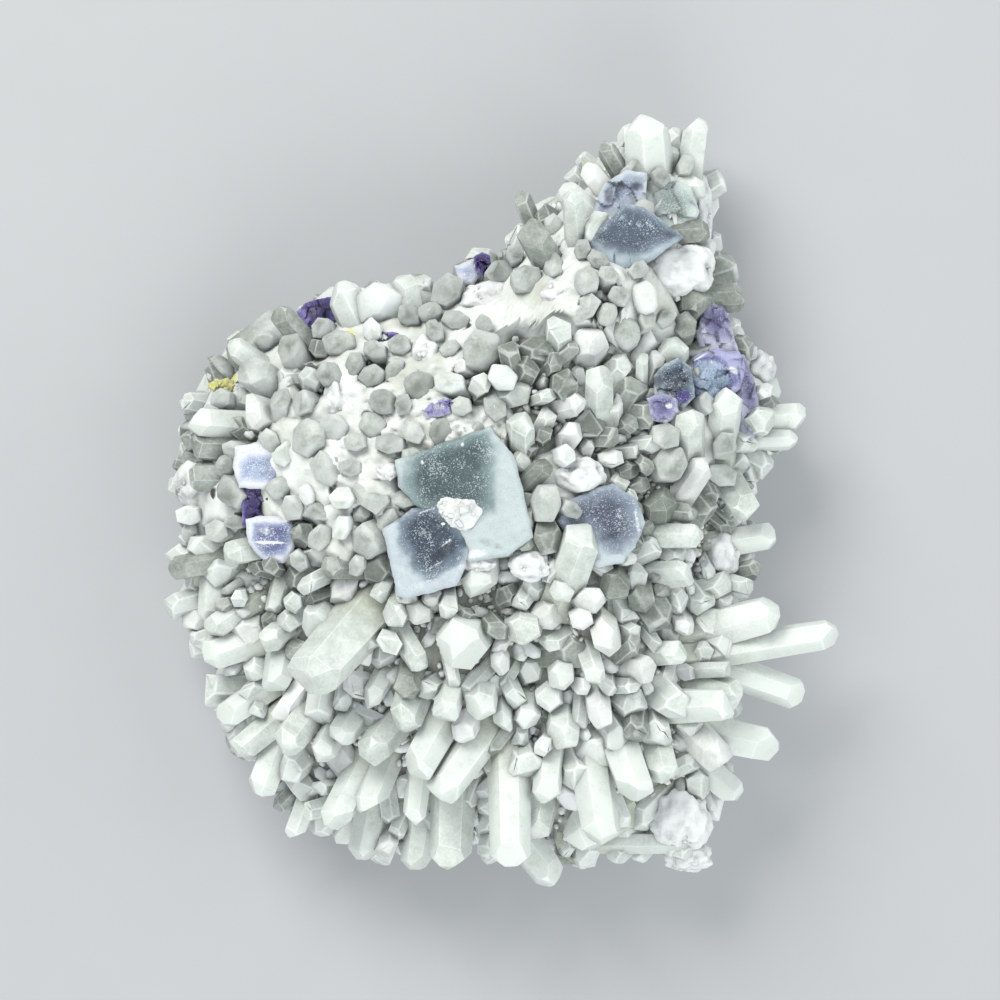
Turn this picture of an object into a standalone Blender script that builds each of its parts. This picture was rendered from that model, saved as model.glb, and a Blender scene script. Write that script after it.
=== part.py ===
"""Fluorite on matrix: a hand specimen of milky quartz crystals and fluorite cubes on a lump of rock.

The specimen lies on its broken flat back. Z is up, Y points to the narrow arm at the top of the display
face, and the origin is in the middle of the flat back. Sizes in the tables are millimetres and degrees.
"""
import math
import random

import bmesh
import bpy
from mathutils import Matrix, Vector, noise

MM = 0.001

# Driving dimensions of the rock
MIDDLE = (0.0, 3.0)
CROWN_HEIGHT = 29.0
RIM_HEIGHT = 12.0
BACK_INSET = 0.84
FACE_LUMPS = 1.5
SIDE_LUMPS = 1.3
LUMP_SPAN = 13.0
# The dome's power, how much fuller it is towards the arm, and the power by which lumps fade at the rim
FULLNESS = 2.7
FULLER_AT_ARM = 0.6
LUMP_FADE = 6
# Distance from the middle at which the sides' lumps are read, and how much closer they follow each other
SIDE_LUMP_REACH = 40.0
SIDE_LUMP_PACE = 1.7
# Heading in degrees against the reach of the rock from its middle
OUTLINE = (
    (0, 35.5), (12, 40), (28, 39.5), (40, 41.5), (50, 46), (57, 54.5), (62, 57), (70, 51),
    (80, 39), (90, 32), (110, 29), (130, 33), (150, 41), (165, 45.5), (180, 46), (198, 48),
    (220, 51), (240, 56), (255, 55.5), (270, 53), (285, 56.5), (297, 58), (310, 51), (320, 44),
    (340, 36),
)
OUTLINE_SIDES = 36
FACE_RINGS = (0.26, 0.5, 0.7, 0.87, 1.0)
# Reach against the rim and height, down the broken sides
SIDE_RINGS = ((0.99, 6.5), (BACK_INSET, 0.0))

# Driving dimensions of the quartz
BURIED = 2.6
SHOULDER = 0.56
TAPER = 0.1
JOINT_GAP = 0.35
# Shares of the width: the flattest prism, how far a point leans, and how uneven its shoulders are
FLATTEST = 0.82
POINT_LEAN = 0.09
SHOULDER_STEP = 0.12
# How much further a seat's point reaches than its sides, for an even gap around the point
POINT_GROW = 1.6
SMALLEST_LIFT = 1.2
# A root lies within this share of the outline: a crystal grows or shrinks by this step until it does
ROOT_SHARE = 0.95
ROOT_STEP = 0.5
ROOT_TRIES = 16

# Large quartz crystals: tip x, tip y, heading, rise above the flat, length, width
LARGE_QUARTZ = {
    "quartz_spray_long": (50.6, -19.8, 9, 3, 23, 5.1),
    "quartz_spray_low": (45.6, -29.6, -20, 0, 13, 4.8),
    "quartz_spray_upper": (41.6, -16.6, 15, 24, 14, 6.0),
    "quartz_spray_inner": (34.2, -30.2, 4, 38, 12, 5.8),
    "quartz_rim_lower_right": (41.8, -37.0, -12, 8, 13, 5.8),
    "quartz_rim_right": (46.0, 12.7, 5, 2, 8, 4.6),
    "quartz_bright_right": (33.8, 16.0, 84, 42, 14, 5.0),
    "quartz_inner_right": (27.9, 12.6, 92, 50, 11, 5.0),
    "quartz_fat_face": (12.4, -4.6, 70, 36, 13, 6.2),
    "quartz_broad_left": (-28.6, -27.0, 229, 34, 16, 9.4),
    "quartz_flank_left": (-9.4, -44.0, 233, 34, 14, 6.4),
    "quartz_flank_long": (1.6, -54.2, 271, 20, 20, 6.0),
    "quartz_flank_fat": (15.2, -50.6, 278, 32, 16, 6.6),
    "quartz_flank_right": (20.5, -43.8, 290, 40, 12, 6.0),
    "quartz_foot_left": (-25.4, -48.8, 242, 28, 13, 5.6),
    "quartz_foot_middle": (-7.4, -54.9, 268, 22, 13, 6.8),
    "quartz_foot_right": (8.6, -57.5, 309, 8, 13, 5.6),
    "quartz_end_on": (-5.9, -22.0, 250, 76, 9, 8.4),
    "quartz_left_grey": (-34.3, -12.6, 352, 16, 14, 5.0),
    "quartz_left_blade": (-43.6, -18.3, 266, 14, 10, 4.4),
    "quartz_arm_wide": (21.8, 57.4, 94, 24, 12, 7.2),
    "quartz_arm_right": (29.6, 57.2, 82, 16, 10, 4.8),
    "quartz_arm_left": (10.6, 45.6, 96, 34, 12, 3.8),
}

# Middling quartz crystals fused to the rock, with the same columns
MIDDLING_SEED = 100
MIDDLING_QUARTZ = (
    (34.2, -25.2, 3, 30, 8, 3.2), (44.7, 9.0, 0, 6, 9, 3.4), (-27.6, -18.8, 235, 62, 7, 5.2),
    (-33.4, -28.0, 262, 38, 8, 4.6), (-44.6, -23.4, 200, 12, 9, 5.8), (14.6, 19.2, 90, 46, 11, 5.2),
    (13.0, 23.8, 95, 74, 7, 6.0), (3.0, 12.2, 90, 58, 9, 5.2), (7.0, 5.5, 45, 36, 10, 3.4),
    (-32.5, 15.4, 90, 52, 10, 4.8), (-26.0, -10.0, 180, 38, 7, 4.2), (-20.4, -6.2, 195, 56, 8, 5.6),
    (-8.0, 31.6, 100, 74, 7, 5.8), (4.0, 33.0, 95, 76, 7, 5.2), (4.2, 40.2, 122, 46, 10, 6.4),
    (-20.4, 29.6, 168, 46, 9, 7.6), (4.6, 26.8, 10, 22, 10, 4.2), (21.0, 21.6, 90, 36, 8, 2.6),
    (37.2, -2.2, 300, 46, 9, 5.0), (23.7, 0.8, 88, 62, 8, 5.2), (30.6, 6.0, 57, 32, 12, 3.8),
    (30.0, -5.4, 0, 22, 10, 4.2), (41.4, -5.2, 10, 8, 9, 5.0), (17.0, -13.0, 280, 72, 7, 5.0),
    (21.0, -15.0, 285, 74, 6.5, 4.6), (20.4, -10.6, 80, 60, 6, 4.4), (28.0, -10.8, 5, 42, 8, 4.4),
    (9.0, -13.9, 260, 70, 6.5, 4.2), (3.3, -19.4, 262, 76, 7, 5.8), (15.6, -20.9, 275, 74, 8, 5.8),
    (12.0, -17.8, 275, 80, 6, 3.8), (9.0, -26.4, 270, 74, 6.5, 4.8), (9.4, -36.0, 270, 56, 8, 5.4),
    (15.0, -32.9, 280, 58, 8, 5.0), (22.2, -25.2, 350, 50, 7, 4.2), (26.4, -22.6, 5, 66, 6.5, 4.4),
    (-3.0, -31.0, 265, 66, 7.5, 5.2), (0.4, -33.6, 270, 60, 6, 4.2), (4.2, -33.0, 270, 58, 6, 4.2),
    (0.0, -24.4, 270, 78, 6, 4.2), (-15.8, -17.4, 240, 64, 7, 4.4), (-12.2, -17.2, 255, 70, 7, 4.4),
    (-11.4, -24.9, 303, 34, 10, 4.4), (-14.0, -28.6, 255, 58, 8, 4.4), (-14.4, -33.4, 250, 52, 9, 6.0),
    (-8.2, -32.0, 255, 58, 8, 4.8), (-12.6, -40.2, 240, 42, 11, 6.0), (-19.6, -38.0, 230, 48, 9, 5.4),
    (-24.0, -35.6, 235, 54, 7, 4.6), (-32.2, -37.0, 235, 46, 9, 5.6), (-26.6, -38.2, 245, 54, 7, 4.4),
    (-19.5, -30.0, 240, 50, 7, 4.6), (-35.0, -21.4, 215, 54, 7, 4.4), (-43.6, -19.8, 215, 18, 8, 4.2),
    (-14.0, 0.4, 120, 78, 7, 4.0), (-3.4, -13.4, 262, 50, 8, 6.0), (-18.2, -14.6, 240, 50, 6, 3.2),
    (36.0, -29.6, 342, 38, 9, 5.0), (24.6, -41.4, 285, 46, 9, 5.2), (6.8, -44.6, 265, 38, 10, 5.8),
    (5.4, -50.4, 258, 26, 10, 4.8), (-12.9, -48.2, 264, 34, 9, 3.8), (-12.8, -55.6, 262, 4, 10, 4.8),
    (-36.2, -44.4, 250, 18, 10, 5.2), (-20.6, -54.2, 258, 4, 10, 5.2), (9.6, -50.8, 205, 18, 9, 7.0),
    (33.4, -39.4, 315, 44, 10, 7.2), (28.6, -51.6, 0, 12, 10, 4.4), (36.6, 30.3, 2, 4, 9, 4.6),
    (29.6, 30.4, 50, 68, 7, 5.2), (27.6, 26.4, 70, 72, 7, 4.4), (25.6, 22.8, 90, 66, 7, 4.8),
    (-31.6, 23.2, 120, 54, 8, 5.4), (-37.2, 19.6, 140, 48, 8, 5.4), (-37.6, 13.6, 160, 54, 8, 5.6),
    (-46.4, 11.8, 175, 24, 9, 6.2), (-40.8, 1.2, 185, 54, 8, 6.2), (15.2, 53.4, 122, 22, 9, 3.8),
    (-20.4, -46.6, 250, 34, 10, 6.0), (-42.0, -33.0, 215, 14, 9, 5.0), (-39.6, -38.0, 220, 12, 9, 5.0),
    (20.4, -57.6, 285, 4, 9, 4.8), (28.2, -54.4, 300, 6, 9, 4.8), (36.0, -44.6, 320, 8, 9, 4.8),
    (-46.2, 8.0, 178, 12, 8, 5.0), (-46.6, 3.6, 180, 10, 8, 5.0), (-49.6, -10.4, 190, 8, 9, 5.0),
    (-40.6, 23.4, 145, 14, 9, 5.0), (-33.4, 28.6, 130, 12, 9, 5.0), (-24.4, 32.4, 115, 12, 9, 5.2),
    (-14.4, 33.6, 100, 12, 8, 5.0), (30.8, 47.0, 10, 8, 8, 4.4), (31.2, 40.0, 5, 8, 8, 4.4),
    (9.0, 46.6, 140, 14, 8, 4.4), (12.6, 50.0, 130, 12, 8, 4.4), (-40.8, -8.0, 190, 40, 8, 4.8),
)

# White knobbly quartz: x, y, lift of its middle above the rock, length, breadth, height
KNOBS = (
    (27.0, 34.6, 3.0, 11.5, 9.0, 9.0), (11.8, 3.6, 3.4, 7.4, 5.4, 7.0), (33.4, -8.4, 2.8, 5.4, 7.2, 7.0),
    (27.2, -48.2, 1.6, 8.6, 9.0, 8.0), (39.0, 19.8, -2.5, 5.6, 5.8, 6.5), (-24.0, 14.4, 2.6, 4.6, 7.0, 6.5),
    (-10.8, 21.0, 2.4, 6.0, 7.6, 6.0), (-1.6, 29.8, 2.4, 9.0, 5.6, 5.6), (-45.6, 2.4, 0.0, 7.0, 8.4, 8.0),
)

# Rim crystals low on the sides: how many, lowest and highest root, length and width
RIM_COUNT = 40
RIM_ROOT = (4.5, 13.0)
RIM_LENGTH = (5.0, 7.5)
RIM_WIDTH = (3.6, 5.6)
# Their rise in degrees, how much it grows with each millimetre of height, and how far they swing sideways
RIM_RISE = (-10, 16)
RIM_RISE_GAIN = 1.5
RIM_SWING = 18
RIM_JITTER = 0.35
# Their roots' reach against the outline: at the foot, gained with each millimetre up to a height, and set in
RIM_REACH = 0.93
RIM_REACH_GAIN = 0.006
RIM_REACH_TOP = 9
RIM_SET_IN = 1.0
RIM_SEED = 11

# Crystals that fill what is left of the face: how many, their room, rise, length and width
FILL_COUNT = 20
FILL_ROOM = 4.6
FILL_RISE = (50, 86)
FILL_LENGTH = (6.0, 8.5)
FILL_WIDTH = (4.0, 5.8)
FILL_SHARE = 0.93
FILL_SWING = 0.8
FILL_TRIES = 4000
FILL_SEED = 5

# Where the fill keeps clear: shares of a crystal's length, and of the sizes of a cube and a knob
COVERED_AT = (0.25, 0.6, 1.0)
CUBE_ROOM = 1 / 3.4
KNOB_ROOM = 1 / 4

# How strongly a knob is pushed in and out, and how closely its bumps follow each other
KNOB_BUMPS = 0.34
KNOB_PACE = 2.3

# Fluorite cubes, per piece: x, y, lift of the top above the rock, length, breadth, height,
# turn about Z, tilt about X, tilt about Y
FLUORITE = {
    "fluorite_main": (
        (-5.3, 0.9, 8.2, 14.4, 15.6, 15.0, 19, -3, -9),
        (-10.9, -7.6, 8.8, 9.2, 10.8, 14.0, 16, -10, 9),
    ),
    "fluorite_right": ((15.1, -3.4, 8.0, 8.8, 9.0, 12.0, 43, -14, 8),),
    "fluorite_arm": (
        (20.0, 39.0, 5.6, 9.8, 9.6, 10.0, 45, -34, 3),
        (15.6, 44.6, 5.8, 5.4, 5.8, 9.0, 34, -12, -12),
        (19.4, 45.4, 5.4, 4.4, 4.2, 8.0, 12, -16, 4),
    ),
    "fluorite_purple": (
        (32.2, 18.2, 7.6, 6.4, 6.8, 10.0, 36, -10, 14),
        (32.0, 23.2, 7.4, 5.8, 5.6, 10.0, 8, 10, 12),
        (32.5, 27.2, 6.2, 3.6, 4.4, 9.0, 20, 6, 14),
        (35.9, 18.4, 6.4, 3.8, 7.6, 9.0, 24, 6, 22),
        (36.9, 12.6, 7.0, 2.8, 7.0, 5.0, 4, -4, 16),
    ),
    "fluorite_slate": (
        (26.0, 16.2, 6.4, 5.4, 5.2, 9.0, 38, -12, 6),
        (23.6, 13.2, 5.8, 4.2, 4.0, 9.0, 12, -14, -6),
    ),
    "fluorite_left": (
        (-35.4, 4.8, 6.0, 7.4, 5.6, 9.0, -2, 4, -5),
        (-35.8, -0.2, 5.2, 5.0, 5.4, 9.0, -1, 0, -4),
        (-34.0, -5.9, 6.4, 7.0, 6.8, 9.0, -2, -8, -3),
    ),
    "fluorite_upper_left": (
        (-27.5, 27.6, 5.6, 4.4, 4.2, 8.0, 12, 6, -8),
        (-30.4, 26.6, 4.6, 3.6, 3.4, 8.0, -8, 6, -10),
    ),
    "fluorite_crest": (
        (-2.6, 35.4, 5.8, 3.0, 3.6, 9.0, 14, 14, 0),
        (-5.0, 34.0, 5.0, 4.6, 4.2, 9.0, 26, 10, -6),
    ),
    "fluorite_small": ((-16.9, 24.0, 5.6, 3.6, 2.8, 8.0, 6, 6, -4),),
    "fluorite_lilac": ((-9.0, 13.7, 6.0, 4.8, 3.2, 9.0, 12, 4, 0),),
}

# Colour, roughness and metallic value of each finish
FINISHES = {
    "matrix": ((0.62, 0.63, 0.57), 0.6, 0.0),
    "quartz": ((0.79, 0.81, 0.77), 0.28, 0.0),
    "fluorite_blue": ((0.45, 0.56, 0.62), 0.22, 0.0),
    "fluorite_purple": ((0.3, 0.25, 0.5), 0.22, 0.0),
}
PURPLE_PIECES = (
    "fluorite_purple", "fluorite_slate", "fluorite_upper_left", "fluorite_crest", "fluorite_small",
    "fluorite_lilac",
)


def clear_scene():
    for item in list(bpy.data.objects):
        bpy.data.objects.remove(item, do_unlink=True)


def finish(name):
    """The material of a finish, made on its first use."""
    material = bpy.data.materials.get(name)
    if material:
        return material
    colour, roughness, metallic = FINISHES[name]
    material = bpy.data.materials.new(name)
    material.use_nodes = True
    shader = material.node_tree.nodes["Principled BSDF"]
    shader.inputs["Base Color"].default_value = (*colour, 1.0)
    shader.inputs["Roughness"].default_value = roughness
    shader.inputs["Metallic"].default_value = metallic
    material.diffuse_color = (*colour, 1.0)
    return material


def outline_reach(heading):
    """Reach of the rock's outline at a heading in degrees, a smooth curve through OUTLINE."""
    heading %= 360
    count = len(OUTLINE)
    after = next((i for i, point in enumerate(OUTLINE) if point[0] > heading), count)
    angles = []
    reaches = []
    for step in (-2, -1, 0, 1):
        turns, index = divmod(after + step, count)
        angles.append(OUTLINE[index][0] + 360 * turns)
        reaches.append(OUTLINE[index][1])
    span = angles[2] - angles[1]
    along = (heading - angles[1]) / span
    slope_in = (reaches[2] - reaches[0]) / (angles[2] - angles[0]) * span
    slope_out = (reaches[3] - reaches[1]) / (angles[3] - angles[1]) * span
    cube = along ** 3
    square = along ** 2
    return (
        (2 * cube - 3 * square + 1) * reaches[1]
        + (cube - 2 * square + along) * slope_in
        + (3 * square - 2 * cube) * reaches[2]
        + (cube - square) * slope_out
    )


def reach_share(x, y):
    """How far a point lies from the middle, as a share of the outline's reach there."""
    from_middle = Vector((x - MIDDLE[0], y - MIDDLE[1]))
    heading = math.degrees(math.atan2(from_middle.y, from_middle.x))
    return from_middle.length / outline_reach(heading)


def rock_height(x, y):
    """Height of the rock's display face over the flat back."""
    share = min(reach_share(x, y), 1.0)
    heading = math.atan2(y - MIDDLE[1], x - MIDDLE[0])
    fullness = FULLNESS + FULLER_AT_ARM * math.sin(heading)
    height = RIM_HEIGHT + (CROWN_HEIGHT - RIM_HEIGHT) * (1 - share ** fullness)
    lumps = noise.noise(Vector((x, y, 0)) / LUMP_SPAN) * FACE_LUMPS * 2
    return height + lumps * (1 - share ** LUMP_FADE)


def hidden_cutter(item):
    """Marks an object as a guide that only shapes others."""
    item.hide_render = True
    item.display_type = "WIRE"


def new_object(name, shape, collection=None):
    """A mesh object from a bmesh in millimetres, with its faces pointing out."""
    bmesh.ops.recalc_face_normals(shape, faces=shape.faces)
    bmesh.ops.scale(shape, vec=(MM, MM, MM), verts=shape.verts)
    mesh = bpy.data.meshes.new(name)
    shape.to_mesh(mesh)
    shape.free()
    item = bpy.data.objects.new(name, mesh)
    (collection or bpy.context.scene.collection).objects.link(item)
    return item


def rock_body():
    """The bare lump: a domed face, bulging broken sides and a flat back."""
    shape = bmesh.new()
    rings = []
    for share in FACE_RINGS:
        ring = []
        for side in range(OUTLINE_SIDES):
            heading = 360 * side / OUTLINE_SIDES
            reach = outline_reach(heading) * share
            x = MIDDLE[0] + reach * math.cos(math.radians(heading))
            y = MIDDLE[1] + reach * math.sin(math.radians(heading))
            ring.append(shape.verts.new((x, y, rock_height(x, y))))
        rings.append(ring)
    for share, height in SIDE_RINGS:
        ring = []
        for side in range(OUTLINE_SIDES):
            heading = 360 * side / OUTLINE_SIDES
            turn = math.radians(heading)
            place = Vector((math.cos(turn), math.sin(turn), 0)) * SIDE_LUMP_REACH
            place.z = height
            bump = noise.noise(place / LUMP_SPAN * SIDE_LUMP_PACE) * SIDE_LUMPS * 2
            reach = outline_reach(heading) * share + bump
            x = MIDDLE[0] + reach * math.cos(turn)
            y = MIDDLE[1] + reach * math.sin(turn)
            ring.append(shape.verts.new((x, y, height)))
        rings.append(ring)
    crown = shape.verts.new((*MIDDLE, rock_height(*MIDDLE)))
    for side in range(OUTLINE_SIDES):
        after = (side + 1) % OUTLINE_SIDES
        shape.faces.new((crown, rings[0][side], rings[0][after]))
        for inner, outer in zip(rings, rings[1:]):
            shape.faces.new((inner[side], outer[side], outer[after], inner[after]))
    shape.faces.new(list(reversed(rings[-1])))
    bmesh.ops.triangulate(shape, faces=shape.faces[:])
    return new_object("matrix", shape)


def crystal_shape(shape, root, direction, length, width, chance, grow=0.0):
    """One quartz crystal in a bmesh: a six-sided tapering prism with a six-faced, slightly askew point."""
    turn = chance.uniform(0, math.pi / 3)
    flatness = chance.uniform(FLATTEST, 1.0)
    lean = chance.uniform(0.0, POINT_LEAN) * width
    lean_turn = chance.uniform(0, 2 * math.pi)
    steps = [chance.uniform(-SHOULDER_STEP, SHOULDER_STEP) * width for _ in range(6)]
    radius = width / 2 + grow / math.cos(math.pi / 6)
    top = length + POINT_GROW * grow
    start = -BURIED - grow
    frame = direction.to_track_quat("Z", "Y").to_matrix().to_4x4()
    frame.translation = root
    low = []
    high = []
    for corner in range(6):
        angle = turn + corner * math.pi / 3
        across = Vector((math.cos(angle), math.sin(angle) * flatness, 0)) * radius
        shoulder = length - SHOULDER * width + steps[corner] * (-1) ** corner
        slim = 1 - TAPER * max(shoulder, 0) / length
        low.append(shape.verts.new(frame @ (across + Vector((0, 0, start)))))
        high.append(shape.verts.new(frame @ (across * slim + Vector((0, 0, shoulder)))))
    point = Vector((math.cos(lean_turn) * lean, math.sin(lean_turn) * lean, top))
    apex = shape.verts.new(frame @ point)
    for corner in range(6):
        after = (corner + 1) % 6
        shape.faces.new((low[corner], low[after], high[after], high[corner]))
        shape.faces.new((high[corner], high[after], apex))
    shape.faces.new(list(reversed(low)))


def bearing(heading, rise):
    """Unit vector of a heading and a rise in degrees."""
    turn = math.radians(heading)
    lift = math.radians(rise)
    return Vector((math.cos(lift) * math.cos(turn), math.cos(lift) * math.sin(turn), math.sin(lift)))


def crystal_place(tip_x, tip_y, heading, rise, length):
    """Root, direction and full length of a crystal whose tip is given, rooted on the rock."""
    direction = bearing(heading, rise)
    outward = direction.x * (tip_x - MIDDLE[0]) + direction.y * (tip_y - MIDDLE[1]) > 0
    for _ in range(ROOT_TRIES):
        x = tip_x - direction.x * length
        y = tip_y - direction.y * length
        if reach_share(x, y) < ROOT_SHARE:
            break
        length += ROOT_STEP if outward else -ROOT_STEP
    root = Vector((x, y, max(rock_height(x, y), SMALLEST_LIFT)))
    return root, direction, length


def crystal_object(name, row, seed, grow=0.0, collection=None):
    tip_x, tip_y, heading, rise, length, width = row
    root, direction, length = crystal_place(tip_x, tip_y, heading, rise, length)
    shape = bmesh.new()
    crystal_shape(shape, root, direction, length, width, random.Random(seed), grow)
    return new_object(name, shape, collection)


def rim_crystals(collection):
    """Crystals that point outwards low around the sides."""
    chance = random.Random(RIM_SEED)
    for index in range(RIM_COUNT):
        heading = 360 * (index + chance.uniform(-RIM_JITTER, RIM_JITTER)) / RIM_COUNT
        height = chance.uniform(*RIM_ROOT)
        rise = chance.uniform(*RIM_RISE) + (height - RIM_ROOT[0]) * RIM_RISE_GAIN
        swing = heading + chance.uniform(-RIM_SWING, RIM_SWING)
        length = chance.uniform(*RIM_LENGTH)
        width = chance.uniform(*RIM_WIDTH)
        share = RIM_REACH + RIM_REACH_GAIN * min(height, RIM_REACH_TOP)
        reach = outline_reach(heading) * share - RIM_SET_IN
        turn = math.radians(heading)
        root = Vector((MIDDLE[0] + reach * math.cos(turn), MIDDLE[1] + reach * math.sin(turn), height))
        shape = bmesh.new()
        crystal_shape(shape, root, bearing(swing, rise), length, width, chance)
        item = new_object("rim_guide_%d" % index, shape, collection)
        hidden_cutter(item)


def taken_places():
    """Points in plan that a crystal of the tables covers, with the room that each needs."""
    places = []
    for tip_x, tip_y, heading, rise, length, width in (*LARGE_QUARTZ.values(), *MIDDLING_QUARTZ):
        root, direction, length = crystal_place(tip_x, tip_y, heading, rise, length)
        for share in COVERED_AT:
            point = root + direction * length * share
            places.append((point.x, point.y, width / 2))
    for rows in FLUORITE.values():
        for row in rows:
            places.append((row[0], row[1], (row[3] + row[4]) * CUBE_ROOM))
    for row in KNOBS:
        places.append((row[0], row[1], (row[3] + row[4]) * KNOB_ROOM))
    return places


def fill_crystals(collection):
    """Middling crystals over the parts of the face that the tables leave bare."""
    chance = random.Random(FILL_SEED)
    places = taken_places()
    made = 0
    for _ in range(FILL_TRIES):
        turn = chance.uniform(0, 2 * math.pi)
        reach = outline_reach(math.degrees(turn)) * FILL_SHARE * math.sqrt(chance.random())
        x = MIDDLE[0] + reach * math.cos(turn)
        y = MIDDLE[1] + reach * math.sin(turn)
        if any(math.hypot(x - px, y - py) < room + FILL_ROOM / 2 for px, py, room in places):
            continue
        rise = FILL_RISE[1] - (FILL_RISE[1] - FILL_RISE[0]) * reach_share(x, y)
        swing = turn + chance.uniform(-FILL_SWING, FILL_SWING)
        direction = bearing(math.degrees(swing), rise)
        length = chance.uniform(*FILL_LENGTH)
        width = chance.uniform(*FILL_WIDTH)
        shape = bmesh.new()
        crystal_shape(shape, Vector((x, y, rock_height(x, y))), direction, length, width, chance)
        hidden_cutter(new_object("fill_guide_%d" % made, shape, collection))
        places.append((x, y, width / 2))
        made += 1
        if made == FILL_COUNT:
            break


def knob_object(name, row, collection):
    """A lump of knobbly white quartz: a rough ball pushed in and out."""
    x, y, lift, length, breadth, height = row
    shape = bmesh.new()
    bmesh.ops.create_icosphere(shape, subdivisions=2, radius=1.0)
    centre = Vector((x, y, max(rock_height(x, y) + lift, height / 2 + SMALLEST_LIFT)))
    size = Vector((length, breadth, height)) / 2
    for vert in shape.verts:
        bump = 1 + KNOB_BUMPS * noise.noise(vert.co * KNOB_PACE + centre)
        vert.co = centre + vert.co * bump * size
    item = new_object(name, shape, collection)
    hidden_cutter(item)


def cube_object(name, row, grow=0.0, collection=None):
    """One fluorite cube whose top stands the given lift over the rock."""
    x, y, lift, length, breadth, height, turn, tilt_x, tilt_y = row
    shape = bmesh.new()
    bmesh.ops.create_cube(shape, size=1.0)
    size = Matrix.Diagonal((length + 2 * grow, breadth + 2 * grow, height + 2 * grow, 1.0))
    spin = Matrix.Rotation(math.radians(turn), 4, "Z")
    lean = Matrix.Rotation(math.radians(tilt_x), 4, "X") @ Matrix.Rotation(math.radians(tilt_y), 4, "Y")
    centre = Vector((x, y, rock_height(x, y) + lift - height / 2))
    bmesh.ops.transform(shape, matrix=Matrix.Translation(centre) @ lean @ spin @ size, verts=shape.verts)
    return new_object(name, shape, collection)


def boolean(item, operation, other):
    """Adds a Boolean modifier with an object or a collection as its other side."""
    modifier = item.modifiers.new(operation.title(), "BOOLEAN")
    modifier.operation = operation
    modifier.solver = "EXACT"
    if isinstance(other, bpy.types.Collection):
        modifier.operand_type = "COLLECTION"
        modifier.collection = other
    else:
        modifier.object = other
    return modifier


def apply_modifiers(item):
    """Keeps the evaluated mesh, without the crumbs that a cut leaves beside the main body."""
    graph = bpy.context.evaluated_depsgraph_get()
    mesh = bpy.data.meshes.new_from_object(item.evaluated_get(graph))
    item.modifiers.clear()
    shape = bmesh.new()
    shape.from_mesh(mesh)
    waiting = set(shape.verts)
    bodies = []
    while waiting:
        seed = waiting.pop()
        body = {seed}
        front = [seed]
        while front:
            vert = front.pop()
            for edge in vert.link_edges:
                other = edge.other_vert(vert)
                if other not in body:
                    body.add(other)
                    waiting.discard(other)
                    front.append(other)
        bodies.append(body)
    bodies.sort(key=len)
    for crumb in bodies[:-1]:
        bmesh.ops.delete(shape, geom=list(crumb), context="VERTS")
    shape.to_mesh(mesh)
    shape.free()
    item.data = mesh


def new_collection(name):
    collection = bpy.data.collections.new(name)
    bpy.context.scene.collection.children.link(collection)
    return collection


def boxes_meet(first, second):
    """Whether two objects' bounding boxes overlap."""
    for axis in range(3):
        first_span = [corner[axis] for corner in first.bound_box]
        second_span = [corner[axis] for corner in second.bound_box]
        if min(first_span) > max(second_span) or max(first_span) < min(second_span):
            return False
    return True


def fluorite_piece(name, rows, sockets):
    """Fluorite cubes grown together, and the wider guide that cuts their seat."""
    piece = cube_object(name, rows[0])
    seat = cube_object(name + "_seat", rows[0], JOINT_GAP, sockets)
    hidden_cutter(seat)
    guides = new_collection(name + "_guides")
    seat_guides = new_collection(name + "_seat_guides")
    for index, row in enumerate(rows[1:]):
        hidden_cutter(cube_object("%s_guide_%d" % (name, index), row, 0.0, guides))
        hidden_cutter(cube_object("%s_seat_guide_%d" % (name, index), row, JOINT_GAP, seat_guides))
    if len(rows) > 1:
        boolean(piece, "UNION", guides)
        boolean(seat, "UNION", seat_guides)
        apply_modifiers(piece)
        apply_modifiers(seat)
    material = "fluorite_purple" if name in PURPLE_PIECES else "fluorite_blue"
    piece.data.materials.clear()
    piece.data.materials.append(finish(material))
    return piece, seat


def main():
    clear_scene()
    crust = new_collection("crust")
    sockets = new_collection("sockets")
    matrix = rock_body()
    for index, row in enumerate(MIDDLING_QUARTZ):
        hidden_cutter(crystal_object("quartz_guide_%d" % index, row, MIDDLING_SEED + index, 0.0, crust))
    rim_crystals(crust)
    fill_crystals(crust)
    for index, row in enumerate(KNOBS):
        knob_object("knob_guide_%d" % index, row, crust)

    pieces = []
    for name, rows in FLUORITE.items():
        pieces.append(fluorite_piece(name, rows, sockets))
    for index, (name, row) in enumerate(LARGE_QUARTZ.items()):
        piece = crystal_object(name, row, index)
        piece.data.materials.append(finish("quartz"))
        seat = crystal_object(name + "_seat", row, index, JOINT_GAP, sockets)
        hidden_cutter(seat)
        pieces.append((piece, seat))

    for index, (piece, _) in enumerate(pieces):
        cutters = [seat for _, seat in pieces[:index] if boxes_meet(piece, seat)]
        for cutter in cutters:
            boolean(piece, "DIFFERENCE", cutter)
        if cutters:
            apply_modifiers(piece)

    boolean(matrix, "UNION", crust)
    apply_modifiers(matrix)
    boolean(matrix, "DIFFERENCE", sockets)
    apply_modifiers(matrix)
    matrix.data.materials.clear()
    matrix.data.materials.append(finish("matrix"))


if __name__ == "__main__":
    main()
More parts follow.
